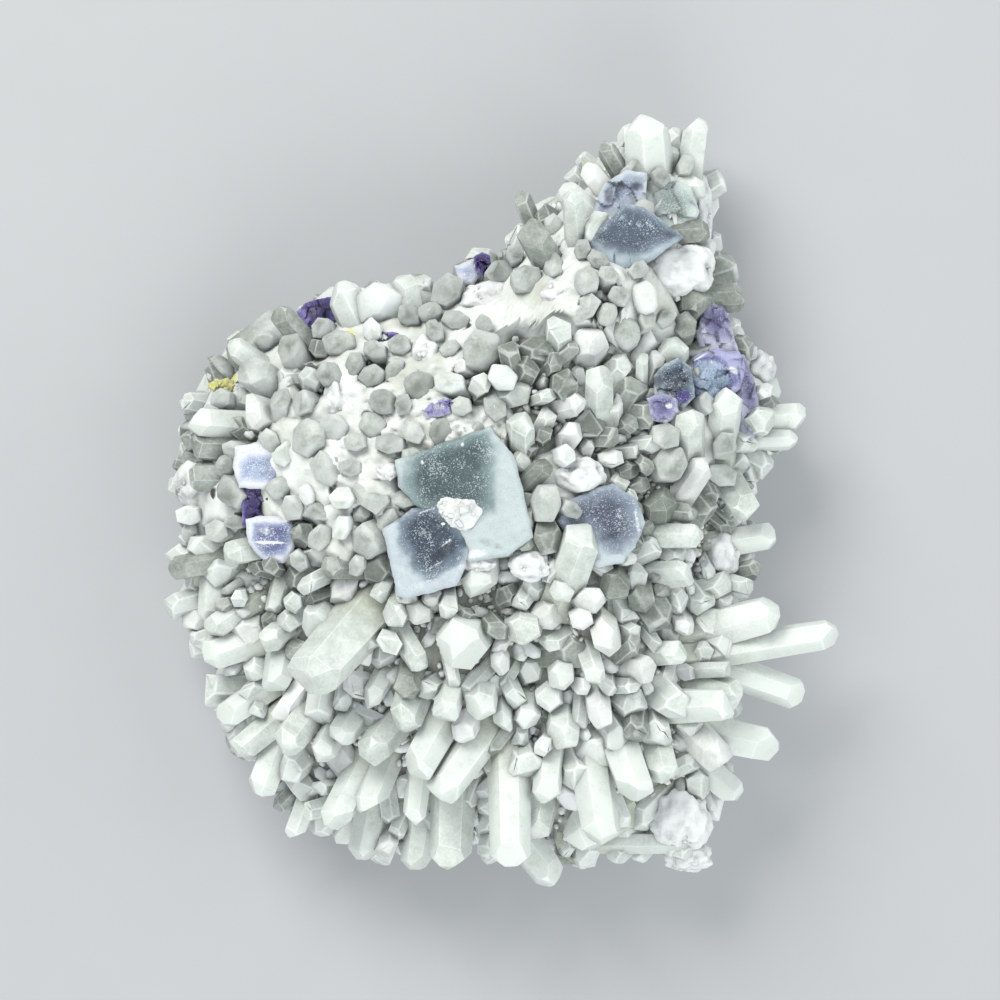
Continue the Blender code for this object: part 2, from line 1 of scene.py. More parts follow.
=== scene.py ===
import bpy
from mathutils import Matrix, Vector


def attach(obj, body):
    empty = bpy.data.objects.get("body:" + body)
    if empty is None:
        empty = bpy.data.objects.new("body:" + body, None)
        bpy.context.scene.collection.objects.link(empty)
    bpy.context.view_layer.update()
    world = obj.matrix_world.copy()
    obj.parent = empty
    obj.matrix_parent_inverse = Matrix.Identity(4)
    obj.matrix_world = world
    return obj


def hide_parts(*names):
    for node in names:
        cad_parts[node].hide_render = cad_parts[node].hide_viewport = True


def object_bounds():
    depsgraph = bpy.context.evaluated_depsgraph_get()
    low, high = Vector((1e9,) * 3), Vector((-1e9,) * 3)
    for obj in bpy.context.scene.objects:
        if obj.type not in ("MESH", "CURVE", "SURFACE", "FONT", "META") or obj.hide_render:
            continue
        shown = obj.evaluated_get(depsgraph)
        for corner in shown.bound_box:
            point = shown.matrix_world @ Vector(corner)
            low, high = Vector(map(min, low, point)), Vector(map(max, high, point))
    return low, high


bl_info = {
    "name": "Fluorite on Matrix",
    "version": (1, 0, 0),
    "blender": (4, 5, 0),
    "location": "3D View > Sidebar > Specimen",
    "description": "Quartz crust, fluorite cubes and rock of a hand specimen",
    "category": "Add Mesh",
}

import math
import random
from collections import namedtuple

import bmesh
import bpy
import numpy as np
from mathutils import Matrix, Vector, noise

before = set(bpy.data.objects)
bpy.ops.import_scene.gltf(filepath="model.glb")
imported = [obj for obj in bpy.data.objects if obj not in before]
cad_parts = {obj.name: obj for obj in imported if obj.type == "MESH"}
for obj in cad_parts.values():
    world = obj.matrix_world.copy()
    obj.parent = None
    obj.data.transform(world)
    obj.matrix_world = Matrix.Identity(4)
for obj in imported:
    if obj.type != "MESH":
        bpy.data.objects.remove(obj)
cad_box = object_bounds()

MM = 0.001

# The rock, in millimetres and degrees, as the solids have it
MIDDLE = (0.0, 3.0)
CROWN_HEIGHT = 29.0
RIM_HEIGHT = 12.0
BACK_INSET = 0.84
WIDEST = (6.5, 0.99)
FACE_LUMPS = 1.5
SIDE_LUMPS = 1.3
LUMP_SPAN = 13.0
OUTLINE = (
    (0, 35.5), (12, 40), (28, 39.5), (40, 41.5), (50, 46), (57, 54.5), (62, 57), (70, 51),
    (80, 39), (90, 32), (110, 29), (130, 33), (150, 41), (165, 45.5), (180, 46), (198, 48),
    (220, 51), (240, 56), (255, 55.5), (270, 53), (285, 56.5), (297, 58), (310, 51), (320, 44),
    (340, 36),
)
ROOT_SHARE = 0.95
ROOT_STEP = 0.5
ROOT_TRIES = 16
SMALLEST_LIFT = 1.2
BURIED = 2.6

# Large quartz crystals: tip x, tip y, heading, rise above the flat, length, width
LARGE_QUARTZ = {
    "quartz_spray_long": (50.6, -19.8, 9, 3, 23, 5.1),
    "quartz_spray_low": (45.6, -29.6, -20, 0, 13, 4.8),
    "quartz_spray_upper": (41.6, -16.6, 15, 24, 14, 6.0),
    "quartz_spray_inner": (34.2, -30.2, 4, 38, 12, 5.8),
    "quartz_rim_lower_right": (41.8, -37.0, -12, 8, 13, 5.8),
    "quartz_rim_right": (46.0, 12.7, 5, 2, 8, 4.6),
    "quartz_bright_right": (33.8, 16.0, 84, 42, 14, 5.0),
    "quartz_inner_right": (27.9, 12.6, 92, 50, 11, 5.0),
    "quartz_fat_face": (12.4, -4.6, 70, 36, 13, 6.2),
    "quartz_broad_left": (-28.6, -27.0, 229, 34, 16, 9.4),
    "quartz_flank_left": (-9.4, -44.0, 233, 34, 14, 6.4),
    "quartz_flank_long": (1.6, -54.2, 271, 20, 20, 6.0),
    "quartz_flank_fat": (15.2, -50.6, 278, 32, 16, 6.6),
    "quartz_flank_right": (20.5, -43.8, 290, 40, 12, 6.0),
    "quartz_foot_left": (-25.4, -48.8, 242, 28, 13, 5.6),
    "quartz_foot_middle": (-7.4, -54.9, 268, 22, 13, 6.8),
    "quartz_foot_right": (8.6, -57.5, 309, 8, 13, 5.6),
    "quartz_end_on": (-5.9, -22.0, 250, 76, 9, 8.4),
    "quartz_left_grey": (-34.3, -12.6, 352, 16, 14, 5.0),
    "quartz_left_blade": (-43.6, -18.3, 266, 14, 10, 4.4),
    "quartz_arm_wide": (21.8, 57.4, 94, 24, 12, 7.2),
    "quartz_arm_right": (29.6, 57.2, 82, 16, 10, 4.8),
    "quartz_arm_left": (10.6, 45.6, 96, 34, 12, 3.8),
}

# Middling quartz crystals with the same columns
MIDDLING_QUARTZ = (
    (34.2, -25.2, 3, 30, 8, 3.2), (44.7, 9.0, 0, 6, 9, 3.4), (-27.6, -18.8, 235, 62, 7, 5.2),
    (-33.4, -28.0, 262, 38, 8, 4.6), (-44.6, -23.4, 200, 12, 9, 5.8), (14.6, 19.2, 90, 46, 11, 5.2),
    (13.0, 23.8, 95, 74, 7, 6.0), (3.0, 12.2, 90, 58, 9, 5.2), (7.0, 5.5, 45, 36, 10, 3.4),
    (-32.5, 15.4, 90, 52, 10, 4.8), (-26.0, -10.0, 180, 38, 7, 4.2), (-20.4, -6.2, 195, 56, 8, 5.6),
    (-8.0, 31.6, 100, 74, 7, 5.8), (4.0, 33.0, 95, 76, 7, 5.2), (4.2, 40.2, 122, 46, 10, 6.4),
    (-20.4, 29.6, 168, 46, 9, 7.6), (4.6, 26.8, 10, 22, 10, 4.2), (21.0, 21.6, 90, 36, 8, 2.6),
    (37.2, -2.2, 300, 46, 9, 5.0), (23.7, 0.8, 88, 62, 8, 5.2), (30.6, 6.0, 57, 32, 12, 3.8),
    (30.0, -5.4, 0, 22, 10, 4.2), (41.4, -5.2, 10, 8, 9, 5.0), (17.0, -13.0, 280, 72, 7, 5.0),
    (21.0, -15.0, 285, 74, 6.5, 4.6), (20.4, -10.6, 80, 60, 6, 4.4), (28.0, -10.8, 5, 42, 8, 4.4),
    (9.0, -13.9, 260, 70, 6.5, 4.2), (3.3, -19.4, 262, 76, 7, 5.8), (15.6, -20.9, 275, 74, 8, 5.8),
    (12.0, -17.8, 275, 80, 6, 3.8), (9.0, -26.4, 270, 74, 6.5, 4.8), (9.4, -36.0, 270, 56, 8, 5.4),
    (15.0, -32.9, 280, 58, 8, 5.0), (22.2, -25.2, 350, 50, 7, 4.2), (26.4, -22.6, 5, 66, 6.5, 4.4),
    (-3.0, -31.0, 265, 66, 7.5, 5.2), (0.4, -33.6, 270, 60, 6, 4.2), (4.2, -33.0, 270, 58, 6, 4.2),
    (0.0, -24.4, 270, 78, 6, 4.2), (-15.8, -17.4, 240, 64, 7, 4.4), (-12.2, -17.2, 255, 70, 7, 4.4),
    (-11.4, -24.9, 303, 34, 10, 4.4), (-14.0, -28.6, 255, 58, 8, 4.4), (-14.4, -33.4, 250, 52, 9, 6.0),
    (-8.2, -32.0, 255, 58, 8, 4.8), (-12.6, -40.2, 240, 42, 11, 6.0), (-19.6, -38.0, 230, 48, 9, 5.4),
    (-24.0, -35.6, 235, 54, 7, 4.6), (-32.2, -37.0, 235, 46, 9, 5.6), (-26.6, -38.2, 245, 54, 7, 4.4),
    (-19.5, -30.0, 240, 50, 7, 4.6), (-35.0, -21.4, 215, 54, 7, 4.4), (-43.6, -19.8, 215, 18, 8, 4.2),
    (-14.0, 0.4, 120, 78, 7, 4.0), (-3.4, -13.4, 262, 50, 8, 6.0), (-18.2, -14.6, 240, 50, 6, 3.2),
    (36.0, -29.6, 342, 38, 9, 5.0), (24.6, -41.4, 285, 46, 9, 5.2), (6.8, -44.6, 265, 38, 10, 5.8),
    (5.4, -50.4, 258, 26, 10, 4.8), (-12.9, -48.2, 264, 34, 9, 3.8), (-12.8, -55.6, 262, 4, 10, 4.8),
    (-36.2, -44.4, 250, 18, 10, 5.2), (-20.6, -54.2, 258, 4, 10, 5.2), (9.6, -50.8, 205, 18, 9, 7.0),
    (33.4, -39.4, 315, 44, 10, 7.2), (28.6, -51.6, 0, 12, 10, 4.4), (36.6, 30.3, 2, 4, 9, 4.6),
    (29.6, 30.4, 50, 68, 7, 5.2), (27.6, 26.4, 70, 72, 7, 4.4), (25.6, 22.8, 90, 66, 7, 4.8),
    (-31.6, 23.2, 120, 54, 8, 5.4), (-37.2, 19.6, 140, 48, 8, 5.4), (-37.6, 13.6, 160, 54, 8, 5.6),
    (-46.4, 11.8, 175, 24, 9, 6.2), (-40.8, 1.2, 185, 54, 8, 6.2), (15.2, 53.4, 122, 22, 9, 3.8),
    (-20.4, -46.6, 250, 34, 10, 6.0), (-42.0, -33.0, 215, 14, 9, 5.0), (-39.6, -38.0, 220, 12, 9, 5.0),
    (20.4, -57.6, 285, 4, 9, 4.8), (28.2, -54.4, 300, 6, 9, 4.8), (36.0, -44.6, 320, 8, 9, 4.8),
    (-46.2, 8.0, 178, 12, 8, 5.0), (-46.6, 3.6, 180, 10, 8, 5.0), (-49.6, -10.4, 190, 8, 9, 5.0),
    (-40.6, 23.4, 145, 14, 9, 5.0), (-33.4, 28.6, 130, 12, 9, 5.0), (-24.4, 32.4, 115, 12, 9, 5.2),
    (-14.4, 33.6, 100, 12, 8, 5.0), (30.8, 47.0, 10, 8, 8, 4.4), (31.2, 40.0, 5, 8, 8, 4.4),
    (9.0, 46.6, 140, 14, 8, 4.4), (12.6, 50.0, 130, 12, 8, 4.4), (-40.8, -8.0, 190, 40, 8, 4.8),
)

# Smooth grey slabs along the upper left rim, with the same columns
RIM_SLABS = (
    (-31.0, 27.6, 40, 10, 15, 8.0), (-40.0, 21.0, 48, 14, 9, 7.0), (-35.0, 23.0, 38, 26, 11, 7.5),
)

# White knobbly quartz: x, y, lift of its middle above the rock, length, breadth, height
KNOBS = {
    "knob_arm": (26.4, 34.4, 3.4, 12.0, 9.6, 9.0),
    "knob_middle": (11.8, 3.6, 3.4, 7.4, 5.4, 7.0),
    "knob_right": (33.4, -8.4, 2.8, 5.4, 7.2, 7.0),
    "knob_foot": (27.0, -48.0, 2.8, 9.6, 10.6, 9.0),
    "knob_rim_right": (39.0, 19.8, -2.5, 5.6, 5.8, 6.5),
    "knob_left": (-24.0, 14.4, 2.6, 4.6, 7.0, 6.5),
    "knob_upper": (-10.8, 21.0, 2.4, 6.0, 7.6, 6.0),
    "knob_crest": (-1.6, 29.8, 2.4, 9.0, 5.6, 5.6),
    "knob_rim_left": (-45.6, 2.4, 0.0, 7.0, 8.4, 8.0),
}

# A fluorite crystal seen from above: its outline, lift of its face above the rock, the face's slope to the
# right and to the top, width of the facets on it (0 for a plain face), colours, outline of the dark core and
# how softly it ends. Marks on the face: kind, x, y, reach along and across, turn, strength.
Plate = namedtuple("Plate", "outline lift slope facets colours feather core marks")
FLUORITE = {
    "fluorite_main": (
        Plate(
            outline=((-15.4, 5.8), (-1.5, 10.8), (2.1, 6.3), (5.0, -5.4), (1.3, -8.1), (-4.5, -9.3),
                (-14.8, 1.9)),
            lift=8.2, slope=(-0.03, 0.04), facets=0, colours="teal", feather=4.4,
            core=((-12.9, 6.6), (-7.8, 8.8), (-2.4, 9.6), (-1.2, 5.7), (-1.1, -0.9), (-4.5, -2.1),
                (-11.4, -0.8), (-13.8, 3.3)),
            marks=(("white", -11.4, 5.5, 0.3, 0.45, 20, 0.9), ("white", -5.5, 8.1, 0.33, 0.39, 0, 0.9),
                ("shade", -7.5, 6.1, 0.9, 0.15, -38, 0.9), ("shade", -4.2, 2.1, 1.8, 2.4, 0, 0.35),
                ("white", -14.4, 6.6, 2.4, 0.24, 20, 0.6), ("pale", 0.8, 0.0, 1.8, 7.8, 6, 0.8),
                ("shade", -10.8, 7.8, 5.1, 0.3, 19, 0.7), ("white", -6.6, -8.4, 4.5, 0.9, 8, 0.8),
                ("shade", -1.2, -6.5, 2.7, 0.75, -20, 0.55), ("white", -2.7, -3.8, 0.6, 2.4, 35, 0.35)),
        ),
        Plate(
            outline=((-17.2, -4.3), (-12.9, -1.3), (-9.4, -0.8), (-5.7, -4.8), (-4.5, -7.2), (-5.1, -9.9),
                (-6.5, -12.6), (-13.7, -14.5), (-15.0, -14.1)),
            lift=8.8, slope=(0.02, 0.05), facets=0, colours="slate", feather=3.2,
            core=((-14.4, -3.4), (-11.1, -0.8), (-7.2, -2.7), (-4.8, -6.0), (-6.3, -9.3), (-10.5, -11.4),
                (-12.9, -9.6), (-14.2, -6.0)),
            marks=(("shade", -8.4, -7.6, 2.25, 0.9, 32, 1.0), ("white", -8.2, -6.5, 2.4, 0.24, 36, 0.55),
                ("white", -9.0, -9.3, 2.55, 0.27, 28, 0.55), ("white", -5.7, -9.9, 0.9, 0.75, 20, 0.7),
                ("shade", -5.1, -6.1, 1.05, 1.05, 0, 0.8), ("white", -11.4, -1.8, 2.1, 0.21, 22, 0.45),
                ("white", -11.2, -12.4, 4.5, 0.75, 14, 0.5)),
        ),
    ),
    "fluorite_right": (
        Plate(
            outline=((8.5, -3.1), (10.2, -0.1), (13.5, 1.6), (16.5, 2.4), (20.1, 0.0), (21.3, -3.3),
                (19.9, -6.9), (18.0, -9.2), (14.4, -9.9), (10.8, -6.8)),
            lift=8.0, slope=(0.04, -0.05), facets=0, colours="dusk", feather=4.6,
            core=((9.3, -2.1), (12.6, 0.9), (16.2, 1.8), (18.9, 0.0), (19.5, -4.2), (17.4, -7.2), (15.0, -6.0),
                (12.9, -4.0), (9.6, -3.9)),
            marks=(("white", 17.4, -1.8, 0.75, 1.2, 0, 0.45), ("white", 15.4, -3.0, 1.2, 0.45, 10, 0.3),
                ("pale", 16.8, -8.7, 2.1, 0.75, 10, 0.8), ("shade", 15.9, -5.4, 1.8, 0.75, 20, 0.6),
                ("white", 20.1, -3.0, 0.3, 2.7, 8, 0.5)),
        ),
    ),
    "fluorite_arm": (
        Plate(
            outline=((13.0, 38.4), (15.6, 41.1), (18.4, 43.6), (21.1, 43.4), (24.4, 40.9), (27.1, 38.9),
                (21.3, 34.8), (19.2, 33.4), (16.8, 33.0), (14.7, 33.6), (13.7, 35.7)),
            lift=6.2, slope=(0.02, 0.16), facets=0, colours="smoke", feather=2.2,
            core=((13.5, 38.5), (18.4, 43.4), (21.0, 43.0), (22.8, 41.7), (26.8, 38.9), (22.9, 37.8),
                (20.4, 36.6), (17.7, 36.8), (15.6, 37.5)),
            marks=(("shade", 16.9, 35.4, 0.18, 2.1, 3, 0.9), ("shade", 19.2, 35.7, 0.15, 1.8, 8, 0.7),
                ("pale", 15.6, 35.1, 0.9, 1.65, 0, 0.7), ("pale", 18.0, 34.9, 0.9, 1.8, 0, 0.7),
                ("white", 19.5, 41.7, 0.21, 2.1, -20, 0.6), ("shade", 15.0, 39.0, 1.35, 0.75, 20, 0.6),
                ("white", 17.7, 39.0, 2.7, 0.15, 35, 0.6), ("white", 20.4, 40.6, 0.2, 1.8, 30, 0.6),
                ("white", 22.6, 40.2, 1.8, 0.18, -38, 0.6), ("shade", 21.4, 38.6, 1.2, 0.6, 0, 0.6),
                ("shade", 25.2, 39.2, 1.3, 0.7, -10, 0.8), ("white", 15.9, 40.4, 1.2, 0.16, 40, 0.5),
                ("pale", 18.3, 41.9, 0.9, 0.5, 40, 0.6)),
        ),
        Plate(
            outline=((13.3, 39.0), (13.8, 43.2), (15.6, 47.2), (18.8, 49.0), (21.9, 48.6), (21.6, 44.2),
                (15.9, 40.5)),
            lift=5.4, slope=(0.05, -0.06), facets=2.6, colours="mist", feather=2.4,
            core=((14.7, 42.8), (15.9, 46.5), (18.0, 47.4), (21.0, 47.7), (20.7, 45.0), (16.8, 43.5)),
            marks=(("shade", 16.2, 45.3, 0.9, 1.2, 0, 0.9), ("shade", 20.4, 46.5, 1.2, 0.75, 0, 0.8),
                ("white", 14.5, 41.7, 0.75, 1.8, 10, 0.5)),
        ),
        Plate(
            outline=((21.0, 47.9), (25.2, 48.6), (28.5, 46.5), (29.7, 42.9), (27.3, 39.0), (24.0, 40.8),
                (21.4, 43.6)),
            lift=4.6, slope=(-0.05, 0.05), facets=3.0, colours="glass", feather=3.0,
            core=((22.2, 46.5), (25.5, 47.4), (27.9, 45.0), (27.6, 41.1), (24.6, 41.7)),
            marks=(("shade", 23.6, 48.1, 2.1, 0.3, 6, 0.9), ("white", 22.8, 42.9, 0.21, 2.7, -35, 0.8),
                ("shade", 23.2, 44.4, 1.05, 0.75, 0, 0.4)),
        ),
    ),
    "fluorite_purple": (
        Plate(
            outline=((29.4, 24.6), (30.4, 28.8), (31.8, 29.7), (33.4, 28.9), (34.4, 26.7), (35.7, 22.1),
                (32.9, 21.8), (29.8, 21.4)),
            lift=7.0, slope=(0.02, -0.1), facets=1.8, colours="violet", feather=3.0,
            core=((30.6, 28.2), (33.3, 28.6), (34.0, 26.7), (33.6, 24.6), (32.1, 24.9), (30.4, 26.1)),
            marks=(("pale", 31.2, 23.2, 1.65, 1.2, 0, 0.7), ("shade", 32.4, 24.4, 0.45, 1.35, 10, 0.8),
                ("white", 30.4, 25.2, 0.45, 1.5, 0, 0.4), ("shade", 34.9, 22.9, 0.45, 1.35, 0, 0.6)),
        ),
        Plate(
            outline=((27.4, 17.6), (27.6, 20.1), (29.8, 21.9), (32.5, 22.5), (35.5, 22.1), (36.6, 19.6),
                (35.7, 16.6), (33.4, 14.8), (31.0, 14.2), (28.8, 15.1)),
            lift=7.6, slope=(0.04, -0.02), facets=2.6, colours="window", feather=1.6,
            core=((29.4, 20.4), (32.1, 21.0), (35.1, 17.7), (32.7, 15.9), (30.9, 15.0), (29.4, 15.6),
                (28.6, 18.0)),
            marks=(("white", 34.6, 19.3, 0.9, 0.5, -20, 0.7), ("shade", 28.9, 20.7, 1.8, 0.24, 35, 0.9),
                ("shade", 33.9, 22.1, 1.8, 0.21, -10, 0.7), ("white", 30.0, 21.4, 1.5, 0.15, 30, 0.7),
                ("shade", 28.2, 17.4, 0.3, 1.5, 0, 0.7), ("shade", 35.6, 18.0, 0.25, 2.4, 8, 0.8),
                ("shade", 29.2, 15.6, 0.25, 1.6, 40, 0.6), ("white", 31.4, 20.6, 0.5, 0.3, 0, 0.4)),
        ),
        Plate(
            outline=((35.2, 15.0), (35.4, 22.1), (36.6, 21.6), (37.8, 18.4), (38.7, 15.6), (38.5, 10.5),
                (37.2, 8.1), (35.7, 9.9)),
            lift=6.6, slope=(-0.1, 0.02), facets=1.7, colours="violet", feather=2.4,
            core=((36.0, 21.6), (36.9, 20.4), (38.1, 17.1), (38.2, 14.7), (36.9, 13.5), (36.0, 16.2)),
            marks=(("pale", 36.8, 10.8, 1.05, 1.8, 0, 0.8), ("shade", 37.8, 12.0, 0.45, 1.2, 0, 0.6),
                ("white", 36.1, 16.2, 0.3, 1.5, -10, 0.4)),
        ),
    ),
    "fluorite_slate": (
        Plate(
            outline=((22.8, 18.3), (24.3, 20.1), (26.4, 21.0), (28.2, 19.5), (28.8, 15.3), (27.1, 13.3),
                (24.6, 13.3), (22.9, 15.3)),
            lift=6.8, slope=(0.05, 0.03), facets=2.4, colours="slate", feather=2.0,
            core=((23.7, 18.9), (26.4, 20.4), (27.9, 18.9), (28.1, 15.6), (26.4, 14.1), (24.3, 15.0)),
            marks=(("shade", 23.2, 17.6, 0.9, 1.2, 0, 1.0), ("violet", 27.0, 15.3, 1.2, 1.2, 0, 0.7),
                ("white", 27.0, 18.1, 0.6, 0.45, 0, 0.3), ("shade", 25.2, 16.2, 1.35, 0.3, 30, 0.6)),
        ),
        Plate(
            outline=((21.8, 15.1), (24.0, 15.9), (26.1, 15.0), (26.4, 12.8), (24.6, 11.2), (22.5, 11.7)),
            lift=6.0, slope=(0.06, 0.06), facets=1.5, colours="violet", feather=1.8,
            core=((22.2, 14.8), (24.0, 15.4), (25.5, 14.4), (25.2, 12.6), (23.1, 12.0)),
            marks=(("white", 24.9, 13.8, 0.6, 0.45, 0, 0.8), ("shade", 23.2, 13.2, 0.75, 0.6, 0, 0.6)),
        ),
    ),
    "fluorite_left": (
        Plate(
            outline=((-39.6, 4.8), (-39.3, 7.9), (-35.7, 8.7), (-31.5, 8.1), (-30.3, 5.2), (-31.0, 1.9),
                (-34.8, 1.6), (-38.7, 1.8)),
            lift=6.0, slope=(0.02, 0.02), facets=0, colours="milk", feather=1.2,
            core=((-38.4, 5.4), (-36.9, 6.5), (-34.2, 6.5), (-32.9, 5.1), (-32.9, 3.0), (-38.4, 2.9)),
            marks=(("white", -35.7, 2.1, 3.9, 0.39, 0, 1.0), ("shade", -35.7, 4.0, 2.4, 0.15, -4, 0.5),
                ("white", -31.9, 5.1, 0.9, 2.1, 0, 0.8)),
        ),
        Plate(
            outline=((-38.5, 2.1), (-32.9, 2.1), (-32.4, -0.8), (-33.1, -3.1), (-35.7, -4.3), (-38.2, -4.0)),
            lift=5.2, slope=(0.0, 0.0), facets=1.3, colours="plum", feather=1.2,
            core=((-38.1, 1.8), (-33.1, 1.8), (-33.0, -0.6), (-33.6, -2.7), (-36.0, -3.8), (-37.9, -3.4)),
            marks=(("white", -32.9, 0.0, 0.3, 1.35, 0, 0.4), ("pale", -35.1, 0.4, 0.6, 0.45, 0, 0.5),
                ("shade", -37.2, -1.8, 1.2, 0.9, 0, 0.6), ("shade", -35.7, -1.2, 1.05, 1.05, 0, 0.5)),
        ),
        Plate(
            outline=((-37.6, -3.0), (-35.7, -2.4), (-31.5, -2.5), (-30.3, -4.5), (-30.4, -7.8), (-32.2, -9.3),
                (-34.8, -9.2), (-36.9, -7.2), (-37.6, -5.1)),
            lift=6.4, slope=(0.0, 0.03), facets=0, colours="framed", feather=1.3,
            core=((-36.4, -3.6), (-31.2, -3.6), (-31.0, -6.1), (-32.1, -7.8), (-34.5, -7.9), (-36.3, -6.0)),
            marks=(("white", -33.8, -6.3, 3.0, 0.2, -2, 1.0), ("pale", -35.1, -4.5, 1.35, 0.75, 0, 0.6),
                ("violet", -32.7, -4.6, 1.2, 1.05, 0, 0.5), ("shade", -33.9, -7.3, 2.1, 0.36, 0, 0.4)),
        ),
    ),
    "fluorite_upper_left": (
        Plate(
            outline=((-30.6, 28.2), (-29.1, 29.5), (-26.7, 30.3), (-23.8, 30.6), (-23.4, 29.2), (-24.6, 27.0),
                (-26.4, 25.3), (-28.8, 25.8)),
            lift=5.8, slope=(0.02, -0.12), facets=1.5, colours="plum", feather=1.4,
            core=((-29.5, 28.8), (-26.7, 30.0), (-24.0, 29.7), (-24.9, 27.4), (-26.7, 25.8), (-28.6, 26.7)),
            marks=(("shade", -26.2, 28.5, 1.35, 1.05, 0, 0.5), ("pale", -28.2, 27.3, 0.6, 0.45, 0, 0.4)),
        ),
        Plate(
            outline=((-33.1, 26.4), (-31.2, 27.8), (-29.4, 28.6), (-28.6, 26.7), (-29.5, 25.3), (-32.1, 25.2)),
            lift=4.8, slope=(0.04, -0.06), facets=1.6, colours="lilac", feather=2.0,
            core=((-31.8, 26.7), (-30.0, 27.6), (-29.5, 26.1), (-31.2, 25.8)),
            marks=(("white", -32.1, 25.9, 0.9, 0.6, 0, 0.5),),
        ),
    ),
    "fluorite_crest": (
        Plate(
            outline=((-3.9, 36.4), (-2.7, 37.2), (-1.5, 36.6), (-1.3, 34.8), (-2.4, 33.6), (-3.6, 34.0)),
            lift=5.9, slope=(0.0, -0.14), facets=1.2, colours="plum", feather=1.0,
            core=((-3.8, 36.4), (-2.5, 36.9), (-1.6, 36.1), (-1.6, 34.8), (-2.5, 33.9), (-3.4, 34.5)),
            marks=(("shade", -2.4, 35.4, 0.75, 0.9, 0, 0.5),),
        ),
        Plate(
            outline=((-6.8, 35.1), (-3.9, 35.9), (-2.9, 33.8), (-3.9, 32.1), (-6.0, 32.4)),
            lift=5.0, slope=(0.0, -0.1), facets=0, colours="milk", feather=2.0,
            core=((-6.0, 34.8), (-4.2, 35.1), (-3.6, 33.6), (-5.4, 33.0)),
            marks=(("white", -5.4, 33.6, 0.9, 0.9, 0, 0.5),),
        ),
    ),
    "fluorite_small": (
        Plate(
            outline=((-18.9, 24.8), (-17.4, 25.2), (-15.1, 24.8), (-14.5, 23.7), (-15.9, 22.8), (-18.3, 23.2)),
            lift=5.8, slope=(0.0, -0.04), facets=1.1, colours="plum", feather=1.0,
            core=((-18.6, 24.6), (-15.3, 24.4), (-14.8, 23.7), (-16.2, 23.1), (-18.3, 23.6)),
            marks=(("pale", -17.1, 24.0, 0.45, 0.3, 0, 0.4),),
        ),
    ),
    "fluorite_lilac": (
        Plate(
            outline=((-11.5, 13.2), (-10.3, 14.2), (-8.1, 15.1), (-6.5, 14.4), (-7.0, 12.8), (-10.7, 11.8)),
            lift=6.0, slope=(0.0, 0.0), facets=1.2, colours="lilac", feather=1.6,
            core=((-10.9, 13.2), (-8.4, 14.5), (-7.2, 14.1), (-8.1, 13.0), (-10.2, 12.4)),
            marks=(("violet", -7.5, 14.2, 0.75, 0.6, 0, 0.8), ("violet", -10.3, 12.8, 0.75, 0.45, 0, 0.6),
                ("white", -9.0, 13.5, 0.9, 0.6, 0, 0.6)),
        ),
    ),
}

# Small white lumps of sugary quartz, with the same columns
SMALL_KNOBS = {
    "lump_between_cubes": (-6.2, -1.8, 8.7, 7.0, 5.4, 1.8),
    "lump_on_edge": (-3.2, -9.4, 5.6, 5.4, 2.6, 3.2),
    "lump_under_fat_face": (4.4, -9.6, 4.6, 6.0, 5.0, 3.6),
    "lump_left_of_cube": (-16.6, 4.2, 5.6, 3.4, 2.6, 3.0),
    "lump_low_right": (28.4, -53.6, 1.0, 7.6, 5.0, 5.0),
    "lump_plateau": (9.0, 30.2, 2.6, 6.6, 4.6, 4.6),
    "lump_yellow": (-41.6, 17.3, 4.6, 4.6, 0.8, 1.2),
    "lump_arm_right": (30.2, 43.4, 1.6, 3.6, 11.0, 5.0),
    "lump_by_purple": (34.8, 19.8, 7.2, 2.6, 2.2, 2.2),
}

# White matrix between the crystals: x, y, reach, share of the full rise
CHALK_PATCHES = (
    (-24.0, 15.0, 17.0, 1.0), (-12.0, 18.0, 12.0, 1.0), (-25.5, 3.0, 13.0, 1.0), (-42.7, 4.5, 9.0, 1.0),
    (-37.5, 19.5, 9.0, 0.8), (-3.0, 27.0, 11.0, 1.0), (9.0, 31.5, 9.0, 1.0), (15.0, 45.0, 8.0, 0.8),
    (21.0, 27.5, 7.0, 0.9), (-7.5, 11.0, 9.0, 1.0), (-15.0, 27.0, 11.0, 1.0), (28.5, 7.5, 6.0, 0.6),
    (9.0, 3.0, 5.0, 0.6), (31.0, 44.0, 7.0, 0.9),
)
CHALK_RISE = 5.0
# Hollows in it: x, y, radius
CHALK_HOLLOWS = (
    (-39.0, 10.5, 5.0), (-27.8, 17.2, 3.2), (-27.4, 22.6, 2.6), (-4.0, 16.6, 4.2), (3.2, 21.0, 5.4),
    (15.0, 29.4, 3.4), (-36.0, 16.4, 3.4), (22.0, 20.0, 6.0), (-18.6, 19.4, 2.6), (8.6, 24.6, 3.0),
    (-29.0, -5.0, 3.0), (-20.0, -2.6, 2.0), (12.0, 20.0, 6.0),
)
YELLOW_STREAKS = ((-41.7, 17.2, 2.9, 0.9, 24), (-22.4, 24.2, 0.7, 1.3, 0))

